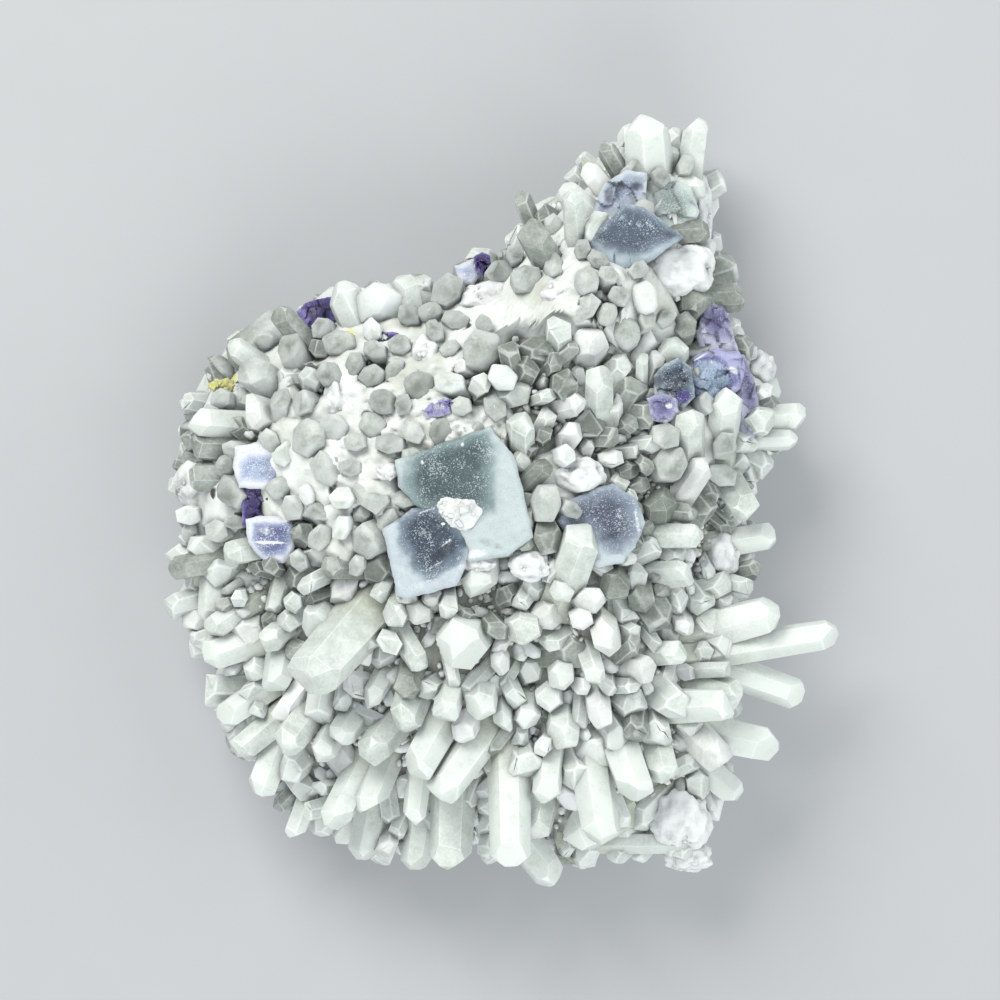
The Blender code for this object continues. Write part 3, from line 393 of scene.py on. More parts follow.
# Colours of a fluorite crystal: core, ring between core and rim, rim
FLUORITE_COLOURS = {
    "teal": ((0.070, 0.110, 0.115), (0.26, 0.35, 0.35), (0.62, 0.70, 0.69)),
    "slate": ((0.048, 0.066, 0.098), (0.21, 0.27, 0.33), (0.62, 0.69, 0.72)),
    "dusk": ((0.080, 0.095, 0.145), (0.27, 0.32, 0.40), (0.62, 0.70, 0.72)),
    "smoke": ((0.085, 0.110, 0.155), (0.19, 0.23, 0.28), (0.52, 0.61, 0.66)),
    "mist": ((0.30, 0.35, 0.47), (0.47, 0.53, 0.63), (0.68, 0.74, 0.78)),
    "glass": ((0.37, 0.44, 0.41), (0.51, 0.59, 0.55), (0.68, 0.76, 0.71)),
    "violet": ((0.135, 0.115, 0.27), (0.34, 0.33, 0.53), (0.62, 0.63, 0.77)),
    "window": ((0.36, 0.47, 0.59), (0.17, 0.165, 0.37), (0.44, 0.45, 0.67)),
    "milk": ((0.42, 0.50, 0.68), (0.64, 0.68, 0.83), (0.86, 0.88, 0.92)),
    "plum": ((0.046, 0.030, 0.115), (0.09, 0.062, 0.255), (0.31, 0.27, 0.56)),
    "framed": ((0.17, 0.20, 0.37), (0.37, 0.42, 0.62), (0.84, 0.87, 0.91)),
    "lilac": ((0.22, 0.19, 0.45), (0.38, 0.36, 0.63), (0.68, 0.69, 0.81)),
}


def outline_reach(heading):
    """Reach of the rock's outline at a heading in degrees, a smooth curve through OUTLINE."""
    heading %= 360
    count = len(OUTLINE)
    after = next((i for i, point in enumerate(OUTLINE) if point[0] > heading), count)
    angles = []
    reaches = []
    for step in (-2, -1, 0, 1):
        turns, index = divmod(after + step, count)
        angles.append(OUTLINE[index][0] + 360 * turns)
        reaches.append(OUTLINE[index][1])
    span = angles[2] - angles[1]
    along = (heading - angles[1]) / span
    slope_in = (reaches[2] - reaches[0]) / (angles[2] - angles[0]) * span
    slope_out = (reaches[3] - reaches[1]) / (angles[3] - angles[1]) * span
    cube = along ** 3
    square = along ** 2
    return (
        (2 * cube - 3 * square + 1) * reaches[1]
        + (cube - 2 * square + along) * slope_in
        + (3 * square - 2 * cube) * reaches[2]
        + (cube - square) * slope_out
    )


def reach_share(x, y):
    """How far a point lies from the middle, as a share of the outline's reach there."""
    from_middle = Vector((x - MIDDLE[0], y - MIDDLE[1]))
    heading = math.degrees(math.atan2(from_middle.y, from_middle.x))
    return from_middle.length / outline_reach(heading)


def rock_height(x, y):
    """Height of the rock's display face over the flat back."""
    share = min(reach_share(x, y), 1.0)
    heading = math.atan2(y - MIDDLE[1], x - MIDDLE[0])
    fullness = 2.7 + 0.6 * math.sin(heading)
    height = RIM_HEIGHT + (CROWN_HEIGHT - RIM_HEIGHT) * (1 - share ** fullness)
    lumps = noise.noise(Vector((x, y, 0)) / LUMP_SPAN) * FACE_LUMPS * 2
    return height + lumps * (1 - share ** 6)


def side_reach(heading, height):
    """Reach of the broken sides at a heading and a height below the rim."""
    turn = math.radians(heading)
    place = Vector((math.cos(turn), math.sin(turn), 0)) * 40 + Vector((0, 0, height))
    bump = noise.noise(place / LUMP_SPAN * 1.7) * SIDE_LUMPS * 2
    level, widest = WIDEST
    if height < level:
        share = BACK_INSET + (widest - BACK_INSET) * height / level
    else:
        share = widest + (1 - widest) * (height - level) / (RIM_HEIGHT - level)
        bump *= (RIM_HEIGHT - height) / (RIM_HEIGHT - level)
    return outline_reach(heading) * share + bump


def bearing(heading, rise):
    """Unit vector of a heading and a rise in degrees."""
    turn = math.radians(heading)
    lift = math.radians(rise)
    return Vector((math.cos(lift) * math.cos(turn), math.cos(lift) * math.sin(turn), math.sin(lift)))


def crystal_place(tip_x, tip_y, heading, rise, length):
    """Root, direction and full length of a crystal whose tip is given, rooted on the rock."""
    direction = bearing(heading, rise)
    outward = direction.x * (tip_x - MIDDLE[0]) + direction.y * (tip_y - MIDDLE[1]) > 0
    for _ in range(ROOT_TRIES):
        x = tip_x - direction.x * length
        y = tip_y - direction.y * length
        if reach_share(x, y) < ROOT_SHARE:
            break
        length += ROOT_STEP if outward else -ROOT_STEP
    root = Vector((x, y, max(rock_height(x, y), SMALLEST_LIFT)))
    return root, direction, length


class Wire:
    """A shader value that takes part in plain arithmetic."""

    def __init__(self, recipe, socket):
        self.recipe = recipe
        self.socket = socket

    def _math(self, operation, first, second):
        return self.recipe.node("Math", {"operation": operation}, {0: first, 1: second})

    def __add__(self, other):
        return self._math("ADD", self, other)

    def __radd__(self, other):
        return self._math("ADD", other, self)

    def __sub__(self, other):
        return self._math("SUBTRACT", self, other)

    def __rsub__(self, other):
        return self._math("SUBTRACT", other, self)

    def __mul__(self, other):
        return self._math("MULTIPLY", self, other)

    def __rmul__(self, other):
        return self._math("MULTIPLY", other, self)

    def __truediv__(self, other):
        return self._math("DIVIDE", self, other)

    def highest(self, other):
        return self._math("MAXIMUM", self, other)

    def lowest(self, other):
        return self._math("MINIMUM", self, other)

    def size(self):
        return self._math("ABSOLUTE", self, 0.0)

    def ramp(self, low, high):
        """0 at low and below, 1 at high and above, eased between."""
        settings = {"interpolation_type": "SMOOTHSTEP"}
        return self.recipe.node("MapRange", settings, {0: self, 1: low, 2: high})


class Recipe:
    """The node tree of one material."""

    def __init__(self, name, **constants):
        self.material = bpy.data.materials.new(name)
        self.material.use_nodes = True
        self.tree = self.material.node_tree
        self.shader = self.tree.nodes["Principled BSDF"]
        for key, value in constants.items():
            self.shader.inputs[key.replace("_", " ").title().replace("Ior", "IOR")].default_value = value

    def feed(self, socket, value):
        """Links a shader value to a socket, or sets a constant on it."""
        if isinstance(value, Wire):
            self.tree.links.new(value.socket, socket)
        elif isinstance(value, tuple) and socket.type == "RGBA" and len(value) == 3:
            socket.default_value = (*value, 1.0)
        else:
            socket.default_value = value

    def node(self, kind, settings=None, values=None, output=0):
        node = self.tree.nodes.new("ShaderNode" + kind)
        for key, value in (settings or {}).items():
            if key == "stops":
                stops = node.color_ramp.elements
                while len(stops) < len(value):
                    stops.new(0.5)
                for stop, (place, colour) in zip(stops, value):
                    stop.position = place
                    stop.color = (*colour, 1.0)
            else:
                setattr(node, key, value)
        for key, value in (values or {}).items():
            self.feed(node.inputs[key], value)
        return Wire(self, node.outputs[output])

    def place(self):
        return self.node("TexCoord", output=3)

    def blend(self, share, first, second, mode="MIX"):
        settings = {"data_type": "RGBA", "blend_type": mode}
        return self.node("Mix", settings, {0: share, 6: first, 7: second}, output=2)

    def cloud(self, scale, detail=3.0, roughness=0.55, place=None):
        values = {"Vector": place or self.place(), "Scale": scale, "Detail": detail, "Roughness": roughness}
        return self.node("TexNoise", None, values)

    def finish(self, colour, roughness, height=None, strength=0.3, reach=0.0002):
        self.feed(self.shader.inputs["Base Color"], colour)
        self.feed(self.shader.inputs["Roughness"], roughness)
        if height is not None:
            bump = self.node("Bump", None, {"Strength": strength, "Distance": reach, "Height": height})
            self.feed(self.shader.inputs["Normal"], bump)
        return self.material


# Pattern crystals: the root ring lies this many widths behind the tip until a copy is placed
PATTERN_LENGTH = 8.0
PRISM_SIDES = 6
# Paleness of edges, partly frost and partly a painted glow: full at the shoulder of the point, weaker on its ridges
# and down the prism
RIDGE_PALENESS = 0.08
PRISM_PALENESS = 0.25

# Fluorite plates: width of the net on the face, depth in the rock, widening to the foot, rounded edge
PLATE_CELL = 0.2
PLATE_BURIED = 3.0
PLATE_DRAFT = 1.04
PLATE_ROUND = 0.7
PLATE_DROP = 0.5
PLATE_RAGGED = 0.18


def leave_edit_mode():
    if bpy.context.object and bpy.context.object.mode != "OBJECT":
        bpy.ops.object.mode_set(mode="OBJECT")
    bpy.ops.object.select_all(action="DESELECT")


def mesh_values(collection, key, width, kind):
    values = np.empty(len(collection) * width, dtype=kind)
    collection.foreach_get(key, values)
    return values.reshape(-1, width) if width > 1 else values


class Pattern:
    """Arrays of one modelled shape, with a value at each face corner: 1 along its edges, 0 inside its faces."""

    def __init__(self, item, rims, root_depth=None):
        mesh = item.data
        self.points = mesh_values(mesh.vertices, "co", 3, np.float64)
        self.corners = mesh_values(mesh.loops, "vertex_index", 1, np.int64)
        self.starts = mesh_values(mesh.polygons, "loop_start", 1, np.int64)
        self.rims = rims
        if root_depth is not None:
            self.rooted = self.points[:, 2] < 0.01 - root_depth
        bpy.data.objects.remove(item, do_unlink=True)
        bpy.data.meshes.remove(mesh)


def wide_faces(mesh, width):
    """Numbers of the faces in which a circle of the given radius fits."""
    wide = set()
    for face in mesh.polygons:
        corners = [mesh.vertices[vert].co for vert in face.vertices]
        girth = sum((a - b).length for a, b in zip(corners, corners[1:] + corners[:1]))
        if 2 * face.area > width * girth:
            wide.add(face.index)
    return wide


def inset_faces(mesh, wanted, thickness):
    """Insets the wanted faces and returns the numbers of what is left of them."""
    bpy.ops.object.mode_set(mode="EDIT")
    bpy.ops.mesh.select_mode(type="FACE")
    bpy.ops.mesh.select_all(action="DESELECT")
    bpy.ops.object.mode_set(mode="OBJECT")
    for face in mesh.polygons:
        face.select = face.index in wanted
    bpy.ops.object.mode_set(mode="EDIT")
    bpy.ops.mesh.inset(thickness=thickness, use_individual=True, use_even_offset=False)
    bpy.ops.object.mode_set(mode="OBJECT")
    return {face.index for face in mesh.polygons if face.select}


def corner_rims(mesh, inner_faces):
    """How pale each face corner is, for frost and a painted glow along the edges: strongest on edges round the
    point's shoulder, 0 inside faces.
    """
    inner_verts = {vert for face in inner_faces for vert in mesh.polygons[face].vertices}
    ridge = RIDGE_PALENESS if inner_faces else 0.0
    rims = np.zeros(len(mesh.loops))
    for loop in mesh.loops:
        if loop.vertex_index not in inner_verts:
            place = mesh.vertices[loop.vertex_index].co
            outward = min(1.0, math.hypot(place.x, place.y) / 0.42) ** 3
            down = min(1.0, max(0.0, -place.z - 0.45) / 0.9)
            rims[loop.index] = (ridge + (1 - ridge) * outward) * (1 - (1 - PRISM_PALENESS) * down)
    return rims


# How each kind of pattern crystal is made: bevel, its segments, inset of the faces, lean of the end faces
# from the flat, how far its point may be cut off, seeds
CRYSTAL_KINDS = {
    "fine": (0.09, 2, 0.0, 48, (0.1, 0.26), range(20, 30)),
    "plain": (0.0, 0, 0.08, 46, (0.1, 0.3), range(40, 52)),
    "pebble": (0.09, 1, 0.0, 30, (0.06, 0.14), range(90, 98)),
    "small": (0.0, 0, 0.0, 50, None, range(60, 66)),
}


def model_crystal(kind, seed):
    """A quartz crystal cut from a six-sided prism by broad and narrow end faces, tip at the origin."""
    bevel, segments, inset, face_lean, blunt, _ = CRYSTAL_KINDS[kind]
    chance = random.Random(seed)
    leave_edit_mode()
    bpy.ops.mesh.primitive_cylinder_add(
        vertices=PRISM_SIDES, radius=0.5, depth=PATTERN_LENGTH + 1.0, end_fill_type="NGON",
        location=(0, 0, 0.5 - PATTERN_LENGTH / 2),
    )
    item = bpy.context.object
    bpy.ops.object.transform_apply(location=True, rotation=True, scale=True)
    mesh = item.data
    for vert in mesh.vertices:
        share = 0.84 + 0.16 * (vert.index // 2 % 3) / 2 + chance.uniform(-0.02, 0.02)
        vert.co.x *= share
        vert.co.y *= share
    bpy.ops.object.mode_set(mode="EDIT")
    leader = chance.randrange(3)
    for side in range(PRISM_SIDES):
        if side % 2:
            rise = chance.uniform(0.02, 0.24)
        else:
            rise = chance.uniform(-0.02, 0.1) - (chance.uniform(0.06, 0.22) if side // 2 == leader else 0.0)
        heading = math.radians(side * 360 / PRISM_SIDES)
        lean = math.radians(face_lean + chance.uniform(-5, 5))
        normal = (math.sin(lean) * math.cos(heading), math.sin(lean) * math.sin(heading), math.cos(lean))
        bpy.ops.mesh.select_all(action="SELECT")
        bpy.ops.mesh.bisect(plane_co=(0, 0, rise), plane_no=normal, use_fill=True, clear_outer=True)
    if blunt:
        tilt = (chance.uniform(-0.25, 0.25), chance.uniform(-0.25, 0.25), 1.0)
        bpy.ops.mesh.select_all(action="SELECT")
        bpy.ops.mesh.bisect(
            plane_co=(0, 0, -chance.uniform(*blunt)), plane_no=tilt, use_fill=True, clear_outer=True,
        )
    bpy.ops.mesh.select_all(action="SELECT")
    bpy.ops.mesh.remove_doubles(threshold=0.012)
    bpy.ops.mesh.normals_make_consistent(inside=False)
    bpy.ops.mesh.delete_loose()
    bpy.ops.mesh.select_all(action="SELECT")
    if bevel:
        bpy.ops.mesh.bevel(offset=bevel, segments=segments, affect="EDGES", clamp_overlap=True)
    bpy.ops.object.mode_set(mode="OBJECT")
    inner = set()
    if inset:
        inner = inset_faces(mesh, wide_faces(mesh, inset * 1.8), inset)
    elif segments > 1:
        inner = wide_faces(mesh, 0.07)
    top = max(vert.co.z for vert in mesh.vertices)
    for vert in mesh.vertices:
        taper = 1.0 + 0.02 * (top - vert.co.z)
        vert.co.x *= taper
        vert.co.y *= taper
        vert.co.z -= top
        if vert.co.z < 1.0 - PATTERN_LENGTH:
            vert.co.z = -PATTERN_LENGTH
    return Pattern(item, corner_rims(mesh, inner), PATTERN_LENGTH)


def model_plate(outline):
    """A block with the given outline and flat face, the face a fine net of squares, one unit deep."""
    low = np.min(outline, axis=0)
    high = np.max(outline, axis=0)
    cells = np.ceil((high - low) / PLATE_CELL).astype(int) + 1
    middle = (low + high) / 2
    leave_edit_mode()
    bpy.ops.mesh.primitive_grid_add(
        x_subdivisions=int(cells[0]), y_subdivisions=int(cells[1]), size=1.0, location=(*middle, 0.0),
    )
    item = bpy.context.object
    item.scale = (*(high - low + PLATE_CELL), 1.0)
    bpy.ops.object.transform_apply(location=True, rotation=True, scale=True)
    bpy.ops.object.mode_set(mode="EDIT")
    for start, end in zip(outline, outline[1:] + outline[:1]):
        normal = Vector((start[1] - end[1], end[0] - start[0], 0.0)).normalized()
        if normal.dot(Vector((start[0] - middle[0], start[1] - middle[1], 0.0))) < 0:
            normal.negate()
        bpy.ops.mesh.select_all(action="SELECT")
        bpy.ops.mesh.bisect(plane_co=(*start, 0.0), plane_no=normal, clear_outer=True)
    bpy.ops.mesh.select_mode(type="FACE")
    bpy.ops.mesh.select_all(action="SELECT")
    bpy.ops.mesh.extrude_region_move(TRANSFORM_OT_translate={"value": (0, 0, -1)})
    bpy.ops.transform.resize(value=(PLATE_DRAFT, PLATE_DRAFT, 1))
    bpy.ops.mesh.dissolve_faces()
    bpy.ops.mesh.select_mode(type="VERT")
    bpy.ops.mesh.select_all(action="SELECT")
    bpy.ops.mesh.normals_make_consistent(inside=False)
    bpy.ops.object.mode_set(mode="OBJECT")
    return Pattern(item, None)


def inside_distance(points, outline):
    """How far points lie inside an outline, negative outside it."""
    nearest = np.full(len(points), np.inf)
    inside = np.zeros(len(points), bool)
    for start, end in zip(outline, outline[1:] + outline[:1]):
        side = np.subtract(end, start)
        away = points - start
        along = np.clip(away @ side / (side @ side), 0.0, 1.0)
        nearest = np.minimum(nearest, np.linalg.norm(away - along[:, None] * side, axis=1))
        if side[1]:
            crossing = start[0] + (points[:, 1] - start[1]) * side[0] / side[1]
            inside ^= ((start[1] > points[:, 1]) != (end[1] > points[:, 1])) & (points[:, 0] < crossing)
    return np.where(inside, nearest, -nearest)


class Batch:
    """Copies of patterns gathered in one mesh, with named values at its face corners."""

    def __init__(self):
        self.points = []
        self.corners = []
        self.starts = []
        self.slots = []
        self.values = {}
        self.point_count = 0
        self.corner_count = 0

    def gather(self, pattern, placed, slot, values):
        self.points.append(placed)
        self.corners.append(pattern.corners + self.point_count)
        self.starts.append(pattern.starts + self.corner_count)
        self.slots.append(np.full(len(pattern.starts), slot))
        for name, value in values.items():
            full = np.empty((len(pattern.corners), 3))
            full[:] = value
            self.values.setdefault(name, []).append(full)
        self.point_count += len(placed)
        self.corner_count += len(pattern.corners)

    def crystal(self, pattern, tip, direction, length, width, turn, tone, slot=0, aspect=1.0):
        """Places a quartz crystal by its tip, direction, whole length with the buried root, and width."""
        local = pattern.points.copy()
        local[pattern.rooted, 2] = -length / width
        along = np.clip(1.0 + local[:, 2] * width / length, 0.0, 1.0)
        local[:, 1] *= aspect
        spin = direction.to_track_quat("Z", "Y").to_matrix() @ Matrix.Rotation(turn, 3, "Z")
        placed = local @ (np.array(spin).T * width) + np.array(tip)
        placed[:, 2] = np.maximum(placed[:, 2], 0.0)
        grain = np.empty((len(pattern.corners), 3))
        grain[:, 0] = tone
        grain[:, 1] = along[pattern.corners]
        grain[:, 2] = pattern.rims
        self.gather(pattern, placed, slot, {"grain": grain})

    def build(self, name, materials):
        mesh = bpy.data.meshes.new(name)
        points = np.concatenate(self.points) * MM
        corners = np.concatenate(self.corners)
        starts = np.concatenate(self.starts)
        mesh.vertices.add(len(points))
        mesh.vertices.foreach_set("co", points.ravel())
        mesh.loops.add(len(corners))
        mesh.loops.foreach_set("vertex_index", corners)
        mesh.polygons.add(len(starts))
        mesh.polygons.foreach_set("loop_start", starts)
        mesh.polygons.foreach_set("material_index", np.concatenate(self.slots))
        mesh.update(calc_edges=True)
        for key, parts in self.values.items():
            value = mesh.attributes.new(key, "FLOAT_VECTOR", "CORNER")
            value.data.foreach_set("vector", np.concatenate(parts).ravel())
        for material in materials:
            mesh.materials.append(material)
        item = bpy.data.objects.new(name, mesh)
        bpy.context.scene.collection.objects.link(item)
        mesh.validate()
        return item


def shade_by_angle(item, degrees):
    leave_edit_mode()
    item.select_set(True)
    bpy.context.view_layer.objects.active = item
    bpy.ops.object.shade_smooth_by_angle(angle=math.radians(degrees))
    item.select_set(False)


PATTERNS = {}


def patterns(kind):
    """The pattern crystals of a kind, modelled on first use."""
    if kind not in PATTERNS:
        PATTERNS[kind] = [model_crystal(kind, seed) for seed in CRYSTAL_KINDS[kind][-1]]
    return PATTERNS[kind]


def attribute_parts(recipe, name):
    value = recipe.node("Attribute", {"attribute_name": name}, output=1)
    return [recipe.node("SeparateXYZ", None, {0: value}, output=axis) for axis in range(3)]


def quartz_material(name, pale, deep, clear, milk_share, edge):
    """Milky quartz: cloudy inside, frosted outside, paler round its shoulder (frost with a painted glow along the
    edges) and toward the tip, with painted shade darkening it toward the root.
    """
    recipe = Recipe(name, transmission_weight=clear, subsurface_weight=milk_share, subsurface_scale=0.003, ior=1.544)
    recipe.shader.inputs["Subsurface Radius"].default_value = (0.9, 1.0, 0.93)
    place = recipe.place()
    tone, along, rim = attribute_parts(recipe, "grain")
    milk = recipe.cloud(380.0, 3.0, 0.6, place)
    frost = recipe.cloud(2300.0, 2.0, 0.6, place)
    # Paler toward the tip: partly clouding and the crystal's own tone, partly painted shade darkening it toward its
    # root.
    share = tone * 0.75 + along * 0.3 + (milk - 0.5) * 1.3 + (frost - 0.5) * 0.6 - 0.04
    colour = recipe.blend(share.ramp(0.0, 1.0), deep, pale)
    # Painted shade: the root, where it sinks among its neighbours, is multiplied down to a darker olive grey.
    root = (1.0 - along).ramp(0.4, 1.0)
    colour = recipe.blend(root * 0.8, colour, (0.76, 0.75, 0.62), "MULTIPLY")
    # Frost and a painted glow whiten the edges, strongest round the shoulder of the point.
    frost_and_edge_glow = (rim + (frost - 0.5) * 0.4) * (0.4 + milk * 0.8) * edge
    colour = recipe.blend(frost_and_edge_glow, colour, (0.90, 0.94, 0.90))
    rough = 0.22 + frost * 0.26 + milk * 0.1
    return recipe.finish(colour, rough, milk * 0.7 + frost * 0.3, 0.4, 0.0003)


def rock_material():
    recipe = Recipe("rock", ior=1.5)
    place = recipe.place()
    broad = recipe.cloud(55.0, 5.0, 0.6, place)
    fine = recipe.cloud(520.0, 6.0, 0.7, place)
    spots = recipe.node("TexVoronoi", None, {"Vector": place, "Scale": 380.0})
    colour = recipe.blend(broad.ramp(0.35, 0.65), (0.25, 0.255, 0.21), (0.44, 0.45, 0.39))
    colour = recipe.blend(fine.ramp(0.45, 0.75) * 0.7, colour, (0.62, 0.63, 0.57))
    # Painted shade: the pits of the bump, at the cells' middles, are darkened toward near black.
    colour = recipe.blend(spots.ramp(0.32, 0.12) * 0.35, colour, (0.12, 0.12, 0.10))
    rust = recipe.cloud(95.0, 4.0, 0.6, place).ramp(0.6, 0.74)
    colour = recipe.blend(rust * 0.35, colour, (0.42, 0.34, 0.20))
    height = fine * 0.7 + spots * 0.5
    return recipe.finish(colour, 0.62 + fine * 0.25, height, 0.7, 0.0005)


def chalk_material():
    """White matrix: bright sugary quartz with pits darkened by painted shade, grey and yellow stains."""
    recipe = Recipe("white_matrix", ior=1.5)
    place = recipe.place()
    broad = recipe.cloud(120.0, 4.0, 0.6, place)
    fine = recipe.cloud(900.0, 4.0, 0.7, place)
    cells = recipe.node("TexVoronoi", None, {"Vector": place, "Scale": 230.0})
    colour = recipe.blend(broad.ramp(0.34, 0.56), (0.66, 0.68, 0.60), (0.86, 0.89, 0.84))
    colour = recipe.blend(fine.ramp(0.58, 0.72) * 0.5, colour, (0.50, 0.52, 0.45))
    # Painted shade: the pits are coloured near black, besides the bump that sinks them.
    shaded_pits = cells.ramp(0.24, 0.16) * broad.ramp(0.56, 0.6)
    colour = recipe.blend(shaded_pits, colour, (0.07, 0.07, 0.06))
    for x, y, along, across, turn in YELLOW_STREAKS:
        settings = {"vector_type": "TEXTURE"}
        values = {"Vector": place, "Location": (x * MM, y * MM, 0.0), "Rotation": (0.0, 0.0, math.radians(turn)),
                  "Scale": (along * MM, across * MM, 1.0)}
        spot = recipe.node("Mapping", settings, values)
        away = recipe.node("VectorMath", {"operation": "LENGTH"}, {0: spot}, output=1)
        yellow = (away + (fine - 0.5) * 2.0).ramp(1.3, 0.7)
        colour = recipe.blend(yellow, colour, (0.84, 0.80, 0.18))
    return recipe.finish(colour, 0.5 + fine * 0.3, fine * 0.6 - shaded_pits, 0.5, 0.0004)


def knob_material(name, dull, bright):
    """A sugary crust, cloudy and a little see-through."""
    recipe = Recipe(name, subsurface_weight=0.25, subsurface_scale=0.0015, ior=1.544)
    recipe.shader.inputs["Subsurface Radius"].default_value = (1.0, 1.0, 1.0)
    place = recipe.place()
    cloud = recipe.cloud(300.0, 4.0, 0.6, place)
    fine = recipe.cloud(1800.0, 4.0, 0.65, place)
    colour = recipe.blend(cloud.ramp(0.3, 0.7), dull, bright)
    return recipe.finish(colour, 0.42 + fine * 0.2, fine, 0.5, 0.0003)


def fluorite_material():
    """Zoned fluorite: a speckled dark core, a ring and a frosted pale rim, with scratches and white crusts."""
    recipe = Recipe(
        "fluorite", transmission_weight=0.15, subsurface_weight=0.3, subsurface_scale=0.002, ior=1.434,
    )
    recipe.shader.inputs["Subsurface Radius"].default_value = (0.85, 1.0, 1.1)
    place = recipe.place()
    depth, shade, white = attribute_parts(recipe, "zones")
    pale, violet, _ = attribute_parts(recipe, "tints")
    cloud = recipe.cloud(330.0, 4.0, 0.65, place)
    drift = recipe.cloud(120.0, 2.0, 0.5, place)
    dust = recipe.cloud(4600.0, 2.0, 0.7, place)
    warp = (cloud - 0.5) * 1.1 + (drift - 0.5) * 0.7
    grain = (dust - 0.5) * 1.3
    to_ring = (depth + warp + grain * 0.5).ramp(0.05, 0.5)
    to_core = (depth + warp + grain).ramp(0.35, 1.0)
    core, ring, rim = (recipe.node("Attribute", {"attribute_name": key}) for key in ("core", "ring", "edge"))
    colour = recipe.blend(to_ring, rim, ring)
    colour = recipe.blend(to_core, colour, core)
    colour = recipe.blend((violet + warp).ramp(0.3, 0.8), colour, (0.09, 0.06, 0.24))
    colour = recipe.blend((pale + warp).ramp(0.3, 0.8) * 0.85, colour, rim)
    specks = (dust + (cloud - 0.5) * 0.5).ramp(0.56, 0.64) * to_ring
    colour = recipe.blend(specks * 0.75, colour, rim)
    pits = (dust + (cloud - 0.5) * 0.3).ramp(0.46, 0.38)
    colour = recipe.blend(pits * (0.15 + to_core * 0.45), colour, (0.05, 0.06, 0.075))
    wisps = recipe.cloud(560.0, 5.0, 0.7, place).ramp(0.58, 0.72) * 0.35
    colour = recipe.blend(wisps, colour, rim)
    colour = recipe.blend((shade + warp + grain * 0.4).ramp(0.3, 1.0) * 0.8, colour, (0.035, 0.045, 0.065))
    colour = recipe.blend((white + warp * 1.3 + grain * 0.6).ramp(0.35, 0.85), colour, (0.88, 0.91, 0.92))
    rough = 0.26 + dust * 0.2 + (1.0 - to_ring) * 0.15 + white * 0.2
    height = cloud * 0.6 + dust * 0.3 + white * 0.5 - shade * 0.5
    return recipe.finish(colour, rough, height, 0.35, 0.0003)


def settle(item, node=None):
    """Says what a finished piece rides on and hides the solid it stands for."""
    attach(item, "root")
    if node:
        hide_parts(node)


class SpecimenSizes(bpy.types.PropertyGroup):
    """Sizes of the pieces that a user would change."""

    middling_gap: bpy.props.FloatProperty(
        name="Middling crowding", description="How far middling crystals keep apart, as a share of their widths",
        default=0.5, min=0.3, subtype="FACTOR",
    )
    small_gap: bpy.props.FloatProperty(
        name="Small crowding", description="How far small crystals keep apart, as a share of their widths",
        default=0.6, min=0.3, subtype="FACTOR",
    )
    grain_count: bpy.props.IntProperty(
        name="Grains", description="Sugary grains between the crystals", default=5000, min=0,
    )


class SpecimenColours(bpy.types.PropertyGroup):
    """Colours of the pieces that a user would change."""

    floor: bpy.props.FloatVectorProperty(
        name="Floor", description="Colour of the plain floor", subtype="COLOR", size=3,
        default=(0.52, 0.53, 0.53), min=0.0, max=1.0,
    )


class SPECIMEN_OT_rock(bpy.types.Operator):
    """The bare lump with its broken sides and flat back"""

    bl_idname = "specimen.rock"
    bl_label = "Rock"

    sides = 110
    face_rings = 26
    side_rings = 9

    def execute(self, context):
        leave_edit_mode()
        bpy.ops.mesh.primitive_cylinder_add(vertices=self.sides, radius=1.0, depth=1.0, location=(0, 0, 0.5))
        item = context.object
        item.name = item.data.name = "matrix_rock"
        bpy.ops.object.transform_apply(location=True, rotation=True, scale=True)
        shape = bmesh.new()
        shape.from_mesh(item.data)
        for level in range(1, self.side_rings):
            plane = Vector((0, 0, level / self.side_rings))
            geometry = shape.verts[:] + shape.edges[:] + shape.faces[:]
            bmesh.ops.bisect_plane(shape, geom=geometry, plane_co=plane, plane_no=(0, 0, 1))
        for top in (True, False):
            shape.faces.ensure_lookup_table()
            caps = [f for f in shape.faces if len(f.verts) > 4 and (f.normal.z > 0.5) == top]
            rings = self.face_rings if top else 6
            for ring in range(rings - 1):
                bmesh.ops.inset_region(shape, faces=caps, thickness=1.0 / rings, use_even_offset=True)
            bmesh.ops.poke(shape, faces=caps)
        for vert in shape.verts:
            vert.co = self.place(vert.co)
        bmesh.ops.recalc_face_normals(shape, faces=shape.faces)
        shape.to_mesh(item.data)
        shape.free()
        item.data.materials.append(rock_material())
        shade_by_angle(item, 38)
        settle(item, "matrix")
        return {"FINISHED"}

    @staticmethod
    def place(point):
        """Moves a point of the unit cylinder to the rock's surface."""
        radius = math.hypot(point.x, point.y)
        heading = math.degrees(math.atan2(point.y, point.x))
        turn = math.radians(heading)
        if point.z > 0.999:
            share = min(radius, 1.0)
            reach = outline_reach(heading) * share
            x = MIDDLE[0] + reach * math.cos(turn)
            y = MIDDLE[1] + reach * math.sin(turn)
            z = rock_height(x, y)
        else:
            z = point.z * RIM_HEIGHT
            reach = side_reach(heading, z) * min(radius, 1.0)
            x = MIDDLE[0] + reach * math.cos(turn)
            y = MIDDLE[1] + reach * math.sin(turn)
        if z > 0.05:
            spot = Vector((x, y, z))
            crack = noise.voronoi(spot / 6.5)[0]
            ledge = (crack[1] - crack[0]) * 1.5
            rough = noise.fractal(spot / 3.1, 1.0, 2.0, 4) * 0.8
            push = ledge * 0.9 + rough - 1.2
            depth = min(z / 2.0, 1.0)
            if point.z > 0.999:
                z += push * 0.6
            else:
                x += math.cos(turn) * push * depth
                y += math.sin(turn) * push * depth
        return Vector((x, y, z)) * MM


